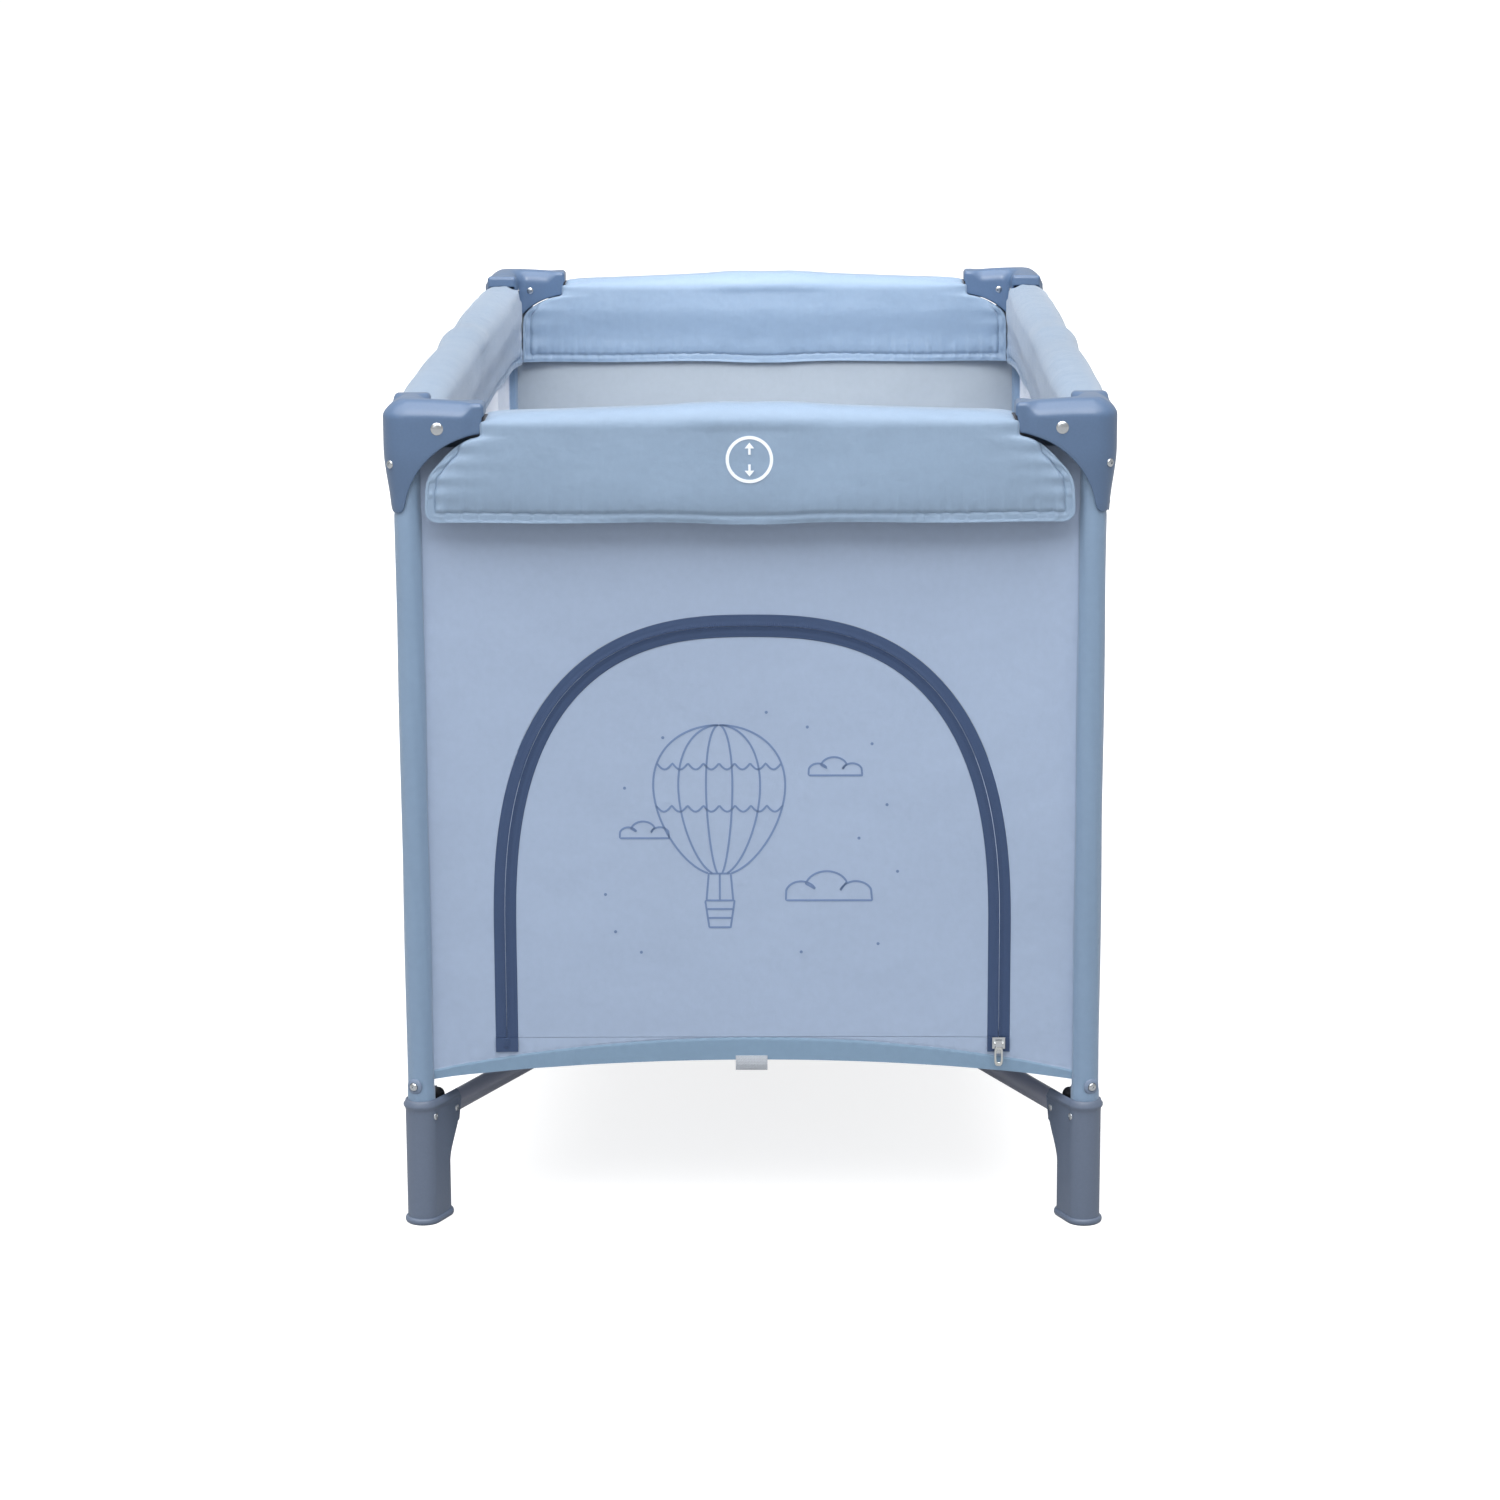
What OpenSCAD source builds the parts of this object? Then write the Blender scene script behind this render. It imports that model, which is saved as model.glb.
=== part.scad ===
// Folding playpen (travel cot): a tube frame with four corner caps, four centre locks and a floor hub,
// hung with padded rail covers, two cloth end walls and two mesh side walls.
// X is across the pen, Y is along it and Z is up. The zip door is in the end wall at -Y.
// The origin is on the floor, under the middle of the pen.

/* [Overall] */
// Width across the outsides of the corner caps
overall_w = 660; // [540:10:800]
// Length across the outsides of the corner caps
overall_l = 1260; // [1040:10:1520]
// Height from the floor to the top of the corner caps
overall_h = 785; // [640:5:950]

/* [Frame tubes] */
// Outer diameter of the four posts
post_d = 22; // [18:0.5:27]
// Outer diameter of the eight half rails
rail_d = 22; // [18:0.5:27]
// Outer diameter of the four base tubes
base_tube_d = 20; // [16:0.5:25]
// Wall of the post, rail and base tubes
tube_wall = 1.5; // [1:0.1:2]
// Height of the base tubes' axes above the floor
base_z = 101; // [85:1:125]
// How far a tube runs on past the pin at its end
tube_tip = 8; // [6:0.5:10]

/* [Pins and screws] */
// Diameter of every pivot pin
pin_d = 5; // [4:0.5:6]
// Diameter of the screws that hold caps and feet
screw_d = 4; // [3:0.5:5]
// Radial clearance of a pin or button in its hole
fit = 0.05; // [0.02:0.01:0.1]
// Clearance between moving pieces that don't bear on each other
clearance = 1.2; // [0.8:0.1:2]

/* [Corner caps] */
// Length of each arm from the outer corner
cap_arm = 89; // [80:1:110]
// Depth of the cap at the ends of its arms
cap_end_drop = 30; // [26:1:36]
// Depth of the leg that wraps the post
cap_leg = 104; // [85:1:125]
// Radius of the hollow curve from the arm's end to the leg's tip
cap_sweep_r = 80; // [70:1:100]
// Radius of the outer corner
cap_corner_r = 14; // [8:1:16]
// Moulded wall of the cap's sides
cap_wall = 3.8; // [2.5:0.1:5]
// Thickness of the cap's roof
cap_roof = 8; // [5:0.5:9]
// Gap between a rail and the cap's sides
cap_side_gap = 2.2; // [1.5:0.1:4]

/* [Feet] */
// Height of the foot's collar around the post
foot_h = 121; // [110:1:145]
// Wall of the foot around the post
foot_wall = 4.3; // [3:0.1:6]
// How far the foot's lower body reaches inward past the post's axis
foot_reach = 21; // [15:1:28]
// Distance from the post's axis to the base tube's pivot
foot_pivot = 44; // [42:1:53]
// Wall of the bracket's two cheeks
cheek_wall = 2.6; // [2:0.1:4]

/* [Centre locks] */
// Wall of the lock case
lock_wall = 3.8; // [2.5:0.1:5]
// Distance from a lock pivot to the end of the case
lock_end = 22; // [18:1:28]
// Diameter of the lock button
button_d = 20; // [16:0.5:24]
// Travel of the lock button
button_travel = 4; // [3:0.5:6]

/* [Cloth] */
// Thickness of a wall, floor or door cloth
cloth_t = 2; // [1:0.5:3]
// Height of the lower edge of the walls
wall_bottom = 146; // [130:1:170]
// Height of the stitched hem band that the door hangs from
hem_h = 33; // [25:1:40]
// Height of the underside of the floor cloth
floor_z = 168; // [160:1:190]
// Thickness of the mattress
mattress_t = 25; // [15:1:40]
// Gap between the mattress and the posts' centre lines
mattress_gap = 14; // [12:1:30]
// Thickness of the padded rail covers
pad_t = 2.2; // [1.5:0.1:4]
// Depth of the rail covers below the top of the caps
pad_drop = 113; // [90:1:130]

/* [Zip door] */
// Width across the outer edges of the zip tape
door_w = 484; // [380:2:500]
// Height of the top of the arch below the top of the caps
door_top_drop = 201; // [190:1:260]
// Share of the door's height over which the arch closes in to its top
door_crown_share = 0.76; // [0.5:0.01:0.95]
// Exponent of the arch: 2 is an ellipse and more is squarer
door_exponent = 2.6; // [2:0.1:4]
// Width of both zip tapes together
zip_w = 21; // [14:1:30]

/* [Hidden] */
$fn = 64;

eps = 0.01;
far = 400;
front_left = [-1, -1];
front_right = [1, -1];
back_left = [-1, 1];
back_right = [1, 1];

// Channel that the caps and lock cases share: half its outer width and half its inner width
channel_in = rail_d / 2 + cap_side_gap;
cap_half = channel_in + cap_wall;
lock_half = channel_in + lock_wall;
post_x = overall_w / 2 - cap_half;
post_y = overall_l / 2 - cap_half;

// A rail's end turns inside a circle of this radius about its pivot
rail_turn = norm([tube_tip, rail_d / 2]);
base_turn = norm([tube_tip, base_tube_d / 2]);
socket_r = max(post_d / 2 + 2, channel_in);
rail_z = overall_h - cap_roof - rail_turn - 3.4;
cap_pivot = socket_r + rail_turn + 2 * clearance + 0.8;
button_flange_r = button_d / 2 + 3;
lock_pivot = button_flange_r + rail_turn + clearance;
half_x = post_x - cap_pivot - lock_pivot;
half_y = post_y - cap_pivot - lock_pivot;

// The base tubes lie along the diagonal of one half-rail pair, so every pivot of the fold turns alike
base_len = norm([half_x, half_y]);
base_angle = atan2(half_y, half_x);
hub_pivot_x = cap_pivot + lock_pivot - foot_pivot * cos(base_angle);
hub_pivot_y = cap_pivot + lock_pivot - foot_pivot * sin(base_angle);
slot_half = base_tube_d / 2 + 0.3;

// The tubes' inner ends stop short of the hub's middle line, where the front and back ones would meet
hub_tip = min(tube_tip, (hub_pivot_y - base_tube_d / 2 * cos(base_angle) - clearance / 2) / sin(base_angle));
cheek_half = slot_half + cheek_wall;
slot_start = foot_pivot - base_turn - clearance;
foot_r = post_d / 2 + foot_wall;
post_seat = 8;
cheek_top = base_z + base_tube_d / 2 + 3;
hub_roof_z = base_z + base_turn + clearance;
hub_top_z = hub_roof_z + 3;
hub_leg_r = 16;
hub_cover_r = 52;

// The sweep's centre, from two points that it passes through: the arm's end and the leg's tip
tip_w = 11;
arm_point = [cap_arm - cap_half, -cap_end_drop];
leg_point = [tip_w - cap_half, -cap_leg];
chord = arm_point - leg_point;
chord_side = [chord.y, -chord.x] / norm(chord);
sweep = (arm_point + leg_point) / 2 + chord_side * sqrt(pow(cap_sweep_r, 2) - pow(norm(chord) / 2, 2));

cap_screw_z = overall_h - 58;
boss_z = foot_h + 15;
foot_screw_z = base_z + 4;
head_r = 6.2;
head_h = 2.6;

wall_inset = 4;
wall_top = rail_z - lock_floor_top() - 6;
wall_half_x = post_x - post_d / 2 - 0.5;
wall_half_y = post_y - post_d / 2 - 0.5;
pad_in = lock_half + 0.8;
pad_out = pad_in + pad_t;
pad_roof_in = rail_z + rail_d / 2 + 4.4;
pad_top = pad_roof_in + 1.2;
pad_end = cap_arm - cap_half + 2;
pad_bottom = overall_h - pad_drop;

door_top = overall_h - door_top_drop;
door_bottom = wall_bottom + hem_h;
door_crown = door_crown_share * (door_top - door_bottom);
door_spring = door_top - door_crown;
seam_gap = 0.3;
coil_gap = 0.4;
slider_x = door_w / 2 - zip_w / 2;
slider_h = 11;
slider_z = door_bottom - 4;

function lock_floor_top() = rail_turn + 0.4;
function arch_x(half, t) = half * sign(cos(t)) * pow(abs(cos(t)), 2 / door_exponent);
function arch_z(rise, t) = rise * pow(sin(t), 2 / door_exponent);

// Puts a piece that is drawn at the front left corner, about its post's axis, at any corner
module at_corner(corner) {
    translate([corner.x * post_x, corner.y * post_y, 0])
        mirror([corner.x > 0 ? 1 : 0, 0, 0])
            mirror([0, corner.y > 0 ? 1 : 0, 0])
                children();
}

// Puts a piece drawn for the front side, about the middle of its rail, at the front or the back
module at_end(side) {
    translate([0, side * post_y, rail_z]) mirror([0, side > 0 ? 1 : 0, 0]) children();
}

// The same for the left or the right side
module at_flank(side) {
    translate([side * post_x, 0, rail_z]) rotate([0, 0, side * 90]) children();
}

module bore_x(r, len) {
    rotate([0, 90, 0]) cylinder(r = r, h = len, center = true);
}

module bore_y(r, len) {
    rotate([90, 0, 0]) cylinder(r = r, h = len, center = true);
}

// A screw hole or shank that runs in from the outer corner, along the diagonal
module along_corner(from, to, r) {
    rotate([0, 0, 225]) rotate([0, 90, 0]) translate([0, 0, from]) cylinder(r = r, h = to - from);
}

// Plan of the cap, set in from its outside by inset, with arms that end at reach
module cap_plan(inset, reach) {
    corner_at = cap_corner_r - cap_half;
    half = cap_half - inset;
    translate([corner_at, corner_at]) circle(r = cap_corner_r - inset);
    translate([corner_at, -half]) square([reach - corner_at, 2 * half]);
    translate([-half, corner_at]) square([2 * half, reach - corner_at]);
}

module corner_cap(corner) {
    reach = cap_arm - cap_half;
    color("lightsteelblue") at_corner(corner) difference() {
        translate([0, 0, overall_h - cap_leg]) linear_extrude(cap_leg) cap_plan(0, reach);
        difference() {
            translate([0, 0, overall_h - cap_leg - 1])
                linear_extrude(cap_leg + 1 - cap_roof) cap_plan(cap_wall, reach + 1);
            translate([0, 0, overall_h - cap_roof - 33]) cylinder(r = socket_r, h = 33);
        }
        translate([0, 0, overall_h - cap_leg - 1]) cylinder(r = post_d / 2, h = cap_leg + 1 - cap_roof);
        translate([sweep.x, 0, overall_h + sweep.y]) bore_y(cap_sweep_r, far);
        translate([0, sweep.x, overall_h + sweep.y]) bore_x(cap_sweep_r, far);
        translate([cap_pivot, 0, rail_z]) bore_y(pin_d / 2 + fit, 3 * cap_half);
        translate([0, cap_pivot, rail_z]) bore_x(pin_d / 2 + fit, 3 * cap_half);
        translate([0, 0, cap_screw_z]) along_corner(post_d / 4, 3 * cap_half, screw_d / 2 + fit);
    }
}

module post(corner) {
    color("lightblue") at_corner(corner) difference() {
        translate([0, 0, post_seat]) cylinder(d = post_d, h = overall_h - cap_roof - post_seat);
        translate([0, 0, post_seat - 1]) cylinder(d = post_d - 2 * tube_wall, h = overall_h);
        for (z = [cap_screw_z, boss_z])
            translate([0, 0, z]) along_corner(post_d / 4, post_d, screw_d / 2 + fit);
        rotate([0, 0, base_angle]) translate([0, -post_d / 2, foot_screw_z]) bore_y(screw_d / 2 + fit, post_d / 2);
    }
}

// Plan of the foot: a round about the post joined to the same round further in
module foot_plan(grow) {
    circle(r = foot_r + grow);
    translate([0, -foot_r - grow]) square([foot_reach, 2 * (foot_r + grow)]);
    translate([foot_reach, 0]) circle(r = foot_r + grow);
}

module foot(corner) {
    bracket_end = foot_pivot + 14;
    flare_r = 40;
    body_end = foot_reach + foot_r;
    lip = 2.5;
    color("slategray") at_corner(corner) rotate([0, 0, base_angle]) difference() {
        union() {
            linear_extrude(cheek_top - 6) foot_plan(0);
            linear_extrude(6) foot_plan(lip);
            cylinder(r = foot_r, h = foot_h);
            translate([0, 0, foot_h - 9]) cylinder(r = foot_r + lip / 2, h = 5);
            rotate([90, 0, 0]) linear_extrude(2 * cheek_half, center = true) difference() {
                translate([0, base_z - 45]) square([bracket_end, cheek_top - base_z + 45]);
                translate([body_end + flare_r, base_z - 45]) circle(r = flare_r);
            }
        }
        translate([0, 0, post_seat]) cylinder(d = post_d, h = foot_h);
        translate([slot_start, -slot_half, base_z - base_turn - clearance]) cube([far, 2 * slot_half, far]);
        translate([foot_pivot, 0, base_z]) bore_y(pin_d / 2 + fit, far);
        translate([0, -foot_r, foot_screw_z]) bore_y(screw_d / 2 + fit, 2 * foot_r);
    }
}

// A headed pivot pin along Y through a channel of the given half width, with its main head at -Y
module pin_y(half) {
    bore_y(pin_d / 2, 2 * half);
    translate([0, -half - head_h / 2, 0]) bore_y(head_r, head_h);
    translate([0, half + 0.75, 0]) bore_y(pin_d / 2 + 1.5, 1.5);
}

module fasteners(corner) {
    washer_r = 7.5;
    cap_corner_out = norm([1, 1]) * (cap_half - cap_corner_r) + cap_corner_r;
    color("silver") at_corner(corner) {
        translate([cap_pivot, 0, rail_z]) pin_y(cap_half);
        translate([0, cap_pivot, rail_z]) rotate([0, 0, -90]) mirror([1, 0, 0]) pin_y(cap_half);
        translate([0, 0, cap_screw_z]) {
            along_corner(post_d / 4 + 1, cap_corner_out, screw_d / 2);
            along_corner(cap_corner_out, cap_corner_out + 2, screw_d);
        }
        translate([0, 0, boss_z]) {
            difference() {
                along_corner(post_d / 4 + 1, post_d / 2 + 4, washer_r);
                cylinder(d = post_d, h = 4 * washer_r, center = true);
            }
            along_corner(post_d / 4 + 1, post_d / 2 + 4, screw_d / 2);
            along_corner(post_d / 2 + 4, post_d / 2 + 6, screw_d);
        }
        rotate([0, 0, base_angle]) {
            translate([foot_pivot, 0, base_z]) pin_y(cheek_half);
            translate([0, -foot_r + screw_d, foot_screw_z]) bore_y(screw_d / 2, 2 * screw_d);
            translate([0, -foot_r - 0.8, foot_screw_z]) bore_y(screw_d, 1.6);
        }
    }
}

// A tube along +X whose end pins are at 0 and at len
module pinned_tube(d, len, last_tip = tube_tip) {
    whole = tube_tip + len + last_tip;
    difference() {
        translate([-tube_tip, 0, 0]) rotate([0, 90, 0]) cylinder(d = d, h = whole);
        translate([-tube_tip - 1, 0, 0])
            rotate([0, 90, 0]) cylinder(d = d - 2 * tube_wall, h = whole + 2);
        for (x = [0, len]) translate([x, 0, 0]) bore_y(pin_d / 2 + fit, 2 * d);
    }
}

module half_rail_x(end, side) {
    color("gainsboro") translate([0, end * post_y, rail_z]) mirror([side > 0 ? 0 : 1, 0, 0])
        translate([lock_pivot, 0, 0]) pinned_tube(rail_d, half_x);
}

module half_rail_y(side, end) {
    color("gainsboro") translate([side * post_x, 0, rail_z]) mirror([0, end > 0 ? 0 : 1, 0])
        rotate([0, 0, 90]) translate([lock_pivot, 0, 0]) pinned_tube(rail_d, half_y);
}

// The case is an upward-open channel: the rails swing up out of it as the pen folds
module lock_case() {
    half_len = lock_pivot + lock_end;
    floor_top = -lock_floor_top();
    floor_t = 4;
    color("dimgray") {
        difference() {
            translate([-half_len, -lock_half, floor_top - floor_t])
                cube([2 * half_len, 2 * lock_half, floor_t - floor_top + rail_d / 2 + 3]);
            translate([-half_len - 1, -channel_in, floor_top]) cube([2 * half_len + 2, 2 * channel_in, far]);
            for (x = [-lock_pivot, lock_pivot]) translate([x, 0, 0]) bore_y(pin_d / 2 + fit, far);
            translate([0, -lock_half, 0]) bore_y(button_d / 2 + fit, 2 * lock_wall);
        }
        for (side = [-1, 1]) translate([side * (half_len - 4) - 4, -channel_in, floor_top])
            cube([8, 2 * channel_in, -floor_top - rail_d / 2 - 0.3]);
    }
    color("silver") for (x = [-lock_pivot, lock_pivot]) translate([x, 0, 0]) flush_pin();
}

// The lock's pins end flush with the case, so that the rail cover lies flat over them
module flush_pin() {
    bore_y(pin_d / 2, 2 * lock_half);
}

module lock_button() {
    flange_t = 2;
    color("darkred") {
        translate([0, -lock_half - 0.4, 0]) rotate([-90, 0, 0]) cylinder(d = button_d, h = lock_wall + 0.4);
        translate([0, -channel_in + 0.1, 0]) rotate([-90, 0, 0]) cylinder(r = button_flange_r, h = flange_t);
        translate([0, -channel_in - eps, 0])
            rotate([-90, 0, 0]) cylinder(d = button_d, h = 0.1 + 2 * eps);
        translate([0, -channel_in + flange_t, 0])
            rotate([-90, 0, 0]) cylinder(r = 5, h = 2 * channel_in - flange_t - button_travel - 2);
    }
}

module base_tube(corner) {
    color("dimgray") at_corner(corner) rotate([0, 0, base_angle])
        translate([foot_pivot, 0, base_z]) pinned_tube(base_tube_d, base_len, hub_tip);
}

// Puts a piece drawn along +X from a hub pivot outward at each of the four hub pivots
module at_hub_pivot(corner) {
    mirror([corner.x < 0 ? 1 : 0, 0, 0]) mirror([0, corner.y < 0 ? 1 : 0, 0])
        translate([hub_pivot_x, hub_pivot_y, base_z]) rotate([0, 0, base_angle]) children();
}

module hub_body() {
    back = base_turn + 4;
    front = 12;
    under = base_tube_d / 2 + 1;
    color("dimgray") difference() {
        union() {
            for (corner = [front_left, front_right, back_left, back_right]) at_hub_pivot(corner)
                translate([-back, -cheek_half, -under]) cube([back + front, 2 * cheek_half, hub_top_z - base_z + under]);
            translate([-hub_pivot_x, -hub_pivot_y - 8, hub_roof_z]) cube([2 * hub_pivot_x, 2 * hub_pivot_y + 16, 3]);
            cylinder(r = hub_leg_r, h = hub_top_z);
            cylinder(r = hub_leg_r + 9, h = 6);
        }
        for (corner = [front_left, front_right, back_left, back_right]) at_hub_pivot(corner) {
            translate([-base_turn - clearance, -slot_half, -under - 1])
                cube([far, 2 * slot_half, hub_roof_z - base_z + under + 1]);
            bore_y(pin_d / 2 + fit, 4 * cheek_half);
        }
    }
}

module hub_pins() {
    color("silver") for (corner = [front_left, front_right, back_left, back_right])
        at_hub_pivot(corner) bore_y(pin_d / 2, 2 * cheek_half);
}

module hub_cover() {
    edge_r = 8;
    height = floor_z - 1 - hub_top_z;
    color("gray") difference() {
        translate([0, 0, hub_top_z]) rotate_extrude() union() {
            square([hub_cover_r - edge_r, height]);
            square([hub_cover_r, height - edge_r]);
            translate([hub_cover_r - edge_r, height - edge_r]) circle(r = edge_r);
        }
        translate([-36, -13, hub_top_z + height - 4]) cube([72, 26, 5]);
    }
}

module pull_strap() {
    color("firebrick") translate([-33, -11, floor_z - 5]) cube([66, 22, 3]);
}

// Outline of the door's arch, set in by inset, as far down as bottom
module arch(inset, bottom) {
    half = door_w / 2 - inset;
    rise = door_crown - inset;
    steps = 48;
    curve = [for (i = [0:steps]) [arch_x(half, 180 * i / steps), door_spring + arch_z(rise, 180 * i / steps)]];
    polygon(concat([[half, bottom]], curve, [[-half, bottom]]));
}

// Cloth of thickness cloth_t whose outline is drawn across and up, standing just inside the end posts
module end_cloth(end, depth = 0) {
    y = post_y - wall_inset - depth;
    translate([0, end > 0 ? y : -y + cloth_t, 0]) rotate([90, 0, 0]) linear_extrude(cloth_t) children();
}

module wall_outline(half) {
    translate([-half, wall_bottom]) square([2 * half, wall_top - wall_bottom]);
}

module wall_front() {
    color("lightsteelblue") end_cloth(-1) difference() {
        wall_outline(wall_half_x);
        arch(-seam_gap, door_bottom);
    }
}

module wall_back() {
    color("lightsteelblue") end_cloth(1) wall_outline(wall_half_x);
}

module side_mesh(side) {
    color("gainsboro") translate([side * (post_x - wall_inset) - (side > 0 ? cloth_t : 0), 0, 0])
        rotate([90, 0, 90]) linear_extrude(cloth_t) wall_outline(wall_half_y);
}

module door_cloth() {
    color("lightsteelblue") end_cloth(-1) intersection() {
        arch(zip_w + seam_gap, door_bottom + seam_gap);
        translate([-far, door_bottom + seam_gap]) square([2 * far, far * 3]);
    }
}

module zip_tapes() {
    bottom = door_bottom + seam_gap;
    half_tape = (zip_w - coil_gap) / 2;
    color("midnightblue") end_cloth(-1) {
        difference() {
            arch(0, bottom);
            arch(half_tape, bottom - 1);
        }
        difference() {
            arch(half_tape + coil_gap, bottom);
            arch(zip_w, bottom - 1);
        }
    }
}

// The slider stands on the zip's outer face; its nose reaches forward for the pull tab's pin
module zip_slider() {
    face = post_y - wall_inset + 0.3;
    color("silver") translate([slider_x, -face, slider_z]) difference() {
        union() {
            translate([-6, -3.2, -slider_h / 2]) cube([12, 3.2, slider_h]);
            translate([-3, -6.2, -3]) cube([6, 3.2, 6]);
        }
        translate([0, -4.7, 0]) bore_x(0.8 + fit, 20);
    }
}

// The pull tab: two ears and a pin in the slider's nose, and a flat tab that hangs below
module zip_pull() {
    tab_len = 22;
    color("silver") translate([slider_x, -(post_y - wall_inset + 0.3) - 4.7, slider_z]) {
        bore_x(0.8, 8.4);
        for (x = [-4.2, 3.2]) translate([x, -1, -5]) cube([1, 2, 6]);
        difference() {
            translate([-4.2, -1.2, -tab_len]) cube([8.4, 1.4, tab_len - 5]);
            translate([0, 0, -tab_len + 4.6]) bore_y(2.2, 10);
        }
    }
}

module zip_stop() {
    face = post_y - wall_inset + 0.3;
    stop_h = 4.5;
    color("silver") translate([slider_x - 4, -face - 2.2, slider_z - slider_h / 2 - stop_h - 0.5])
        cube([8, 2.2, stop_h]);
}

module hem_tab() {
    face = post_y - wall_inset + 0.3;
    color("whitesmoke") translate([-16, -face - 1.6, wall_bottom + 2]) cube([30, 1.6, 14]);
}

// A rail cover is a downward-open channel that hangs over half of a rail, from the lock's middle to the cap
module rail_cover(len) {
    end = len - pad_end;
    color("lightsteelblue") difference() {
        translate([seam_gap, -pad_out, pad_bottom - rail_z])
            cube([end - seam_gap, 2 * pad_out, pad_top - pad_bottom]);
        translate([-1, -pad_in, pad_bottom - rail_z - 1])
            cube([far * 3, 2 * pad_in, pad_roof_in - pad_bottom + 1]);
    }
}

module pad_x(end, side) {
    translate([0, end * post_y, rail_z]) mirror([side > 0 ? 0 : 1, 0, 0]) rail_cover(post_x);
}

module pad_y(side, end) {
    translate([side * post_x, 0, rail_z]) mirror([0, end > 0 ? 0 : 1, 0])
        rotate([0, 0, 90]) rail_cover(post_y);
}

// A flat layer inside the posts, cut away round them
module layer(half_w, half_l, z, t) {
    difference() {
        translate([-half_w, -half_l, z]) cube([2 * half_w, 2 * half_l, t]);
        for (corner = [front_left, front_right, back_left, back_right])
            at_corner(corner) cylinder(r = post_d / 2 + 2, h = overall_h);
    }
}

module floor_cloth() {
    edge = wall_inset + cloth_t + seam_gap;
    color("lightsteelblue") layer(post_x - edge, post_y - edge, floor_z, cloth_t);
}

module mattress() {
    color("lightsteelblue")
        layer(post_x - mattress_gap, post_y - mattress_gap, floor_z + cloth_t + seam_gap, mattress_t);
}

corner_cap(front_left);  // cap_front_left
corner_cap(front_right);  // cap_front_right
corner_cap(back_left);  // cap_back_left
corner_cap(back_right);  // cap_back_right
post(front_left);  // post_front_left
post(front_right);  // post_front_right
post(back_left);  // post_back_left
post(back_right);  // post_back_right
foot(front_left);  // foot_front_left
foot(front_right);  // foot_front_right
foot(back_left);  // foot_back_left
foot(back_right);  // foot_back_right
fasteners(front_left);  // fasteners_front_left
fasteners(front_right);  // fasteners_front_right
fasteners(back_left);  // fasteners_back_left
fasteners(back_right);  // fasteners_back_right
half_rail_x(-1, -1);  // rail_front_l
half_rail_x(-1, 1);  // rail_front_r
half_rail_x(1, -1);  // rail_back_l
half_rail_x(1, 1);  // rail_back_r
half_rail_y(-1, -1);  // rail_left_f
half_rail_y(-1, 1);  // rail_left_b
half_rail_y(1, -1);  // rail_right_f
half_rail_y(1, 1);  // rail_right_b
at_end(-1) lock_case();  // lock_case_front
at_end(1) lock_case();  // lock_case_back
at_flank(-1) lock_case();  // lock_case_left
at_flank(1) lock_case();  // lock_case_right
at_end(-1) lock_button();  // lock_button_front
at_end(1) lock_button();  // lock_button_back
at_flank(-1) lock_button();  // lock_button_left
at_flank(1) lock_button();  // lock_button_right
base_tube(front_left);  // base_tube_fl
base_tube(front_right);  // base_tube_fr
base_tube(back_left);  // base_tube_bl
base_tube(back_right);  // base_tube_br
hub_body();
hub_cover();
hub_pins();
pull_strap();
wall_front();
wall_back();
side_mesh(-1);  // mesh_left
side_mesh(1);  // mesh_right
floor_cloth();
mattress();
pad_x(-1, -1);  // pad_front_l
pad_x(-1, 1);  // pad_front_r
pad_x(1, -1);  // pad_back_l
pad_x(1, 1);  // pad_back_r
pad_y(-1, -1);  // pad_left_f
pad_y(-1, 1);  // pad_left_b
pad_y(1, -1);  // pad_right_f
pad_y(1, 1);  // pad_right_b
door_cloth();
zip_tapes();
zip_stop();
zip_slider();
zip_pull();
hem_tab();
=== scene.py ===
"""Folding travel cot used as a playpen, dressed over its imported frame.

Four sleeved posts stand in moulded feet and carry corner caps. Padded covers hang over the folding top
rails, a cloth wall with an arched zip door closes the -Y end, and mesh closes the long sides. Every
surface is a grid of points worked out from the boxes of the frame's own parts, in metres.
"""

import math
import bmesh
import bpy
import numpy as np
from mathutils import Matrix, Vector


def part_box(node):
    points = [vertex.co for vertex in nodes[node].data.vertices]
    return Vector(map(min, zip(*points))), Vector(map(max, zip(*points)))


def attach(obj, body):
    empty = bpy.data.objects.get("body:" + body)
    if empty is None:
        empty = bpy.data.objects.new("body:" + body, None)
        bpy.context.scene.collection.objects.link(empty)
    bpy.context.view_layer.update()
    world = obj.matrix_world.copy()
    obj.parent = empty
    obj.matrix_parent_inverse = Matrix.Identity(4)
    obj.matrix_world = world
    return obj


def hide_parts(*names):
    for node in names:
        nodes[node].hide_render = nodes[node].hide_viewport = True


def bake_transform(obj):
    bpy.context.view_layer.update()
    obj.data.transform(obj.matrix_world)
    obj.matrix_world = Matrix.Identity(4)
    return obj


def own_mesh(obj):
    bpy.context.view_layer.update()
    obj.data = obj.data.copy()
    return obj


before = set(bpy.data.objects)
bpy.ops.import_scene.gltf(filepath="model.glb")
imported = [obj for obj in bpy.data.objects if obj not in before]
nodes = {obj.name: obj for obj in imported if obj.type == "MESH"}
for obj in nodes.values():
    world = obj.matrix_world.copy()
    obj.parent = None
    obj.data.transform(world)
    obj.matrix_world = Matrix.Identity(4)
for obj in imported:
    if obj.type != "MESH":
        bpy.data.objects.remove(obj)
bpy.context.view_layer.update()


# Post sleeves: narrow tubes of the wall's satin polyester, sewn closed along the inner side and drawn
# over the four steel posts before the caps and feet go on. A turned hem stiffens each lower end.
def middle(node):
    """The centre of a part's box at rest."""
    low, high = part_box(node)
    return (np.array(low) + np.array(high)) / 2


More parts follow.
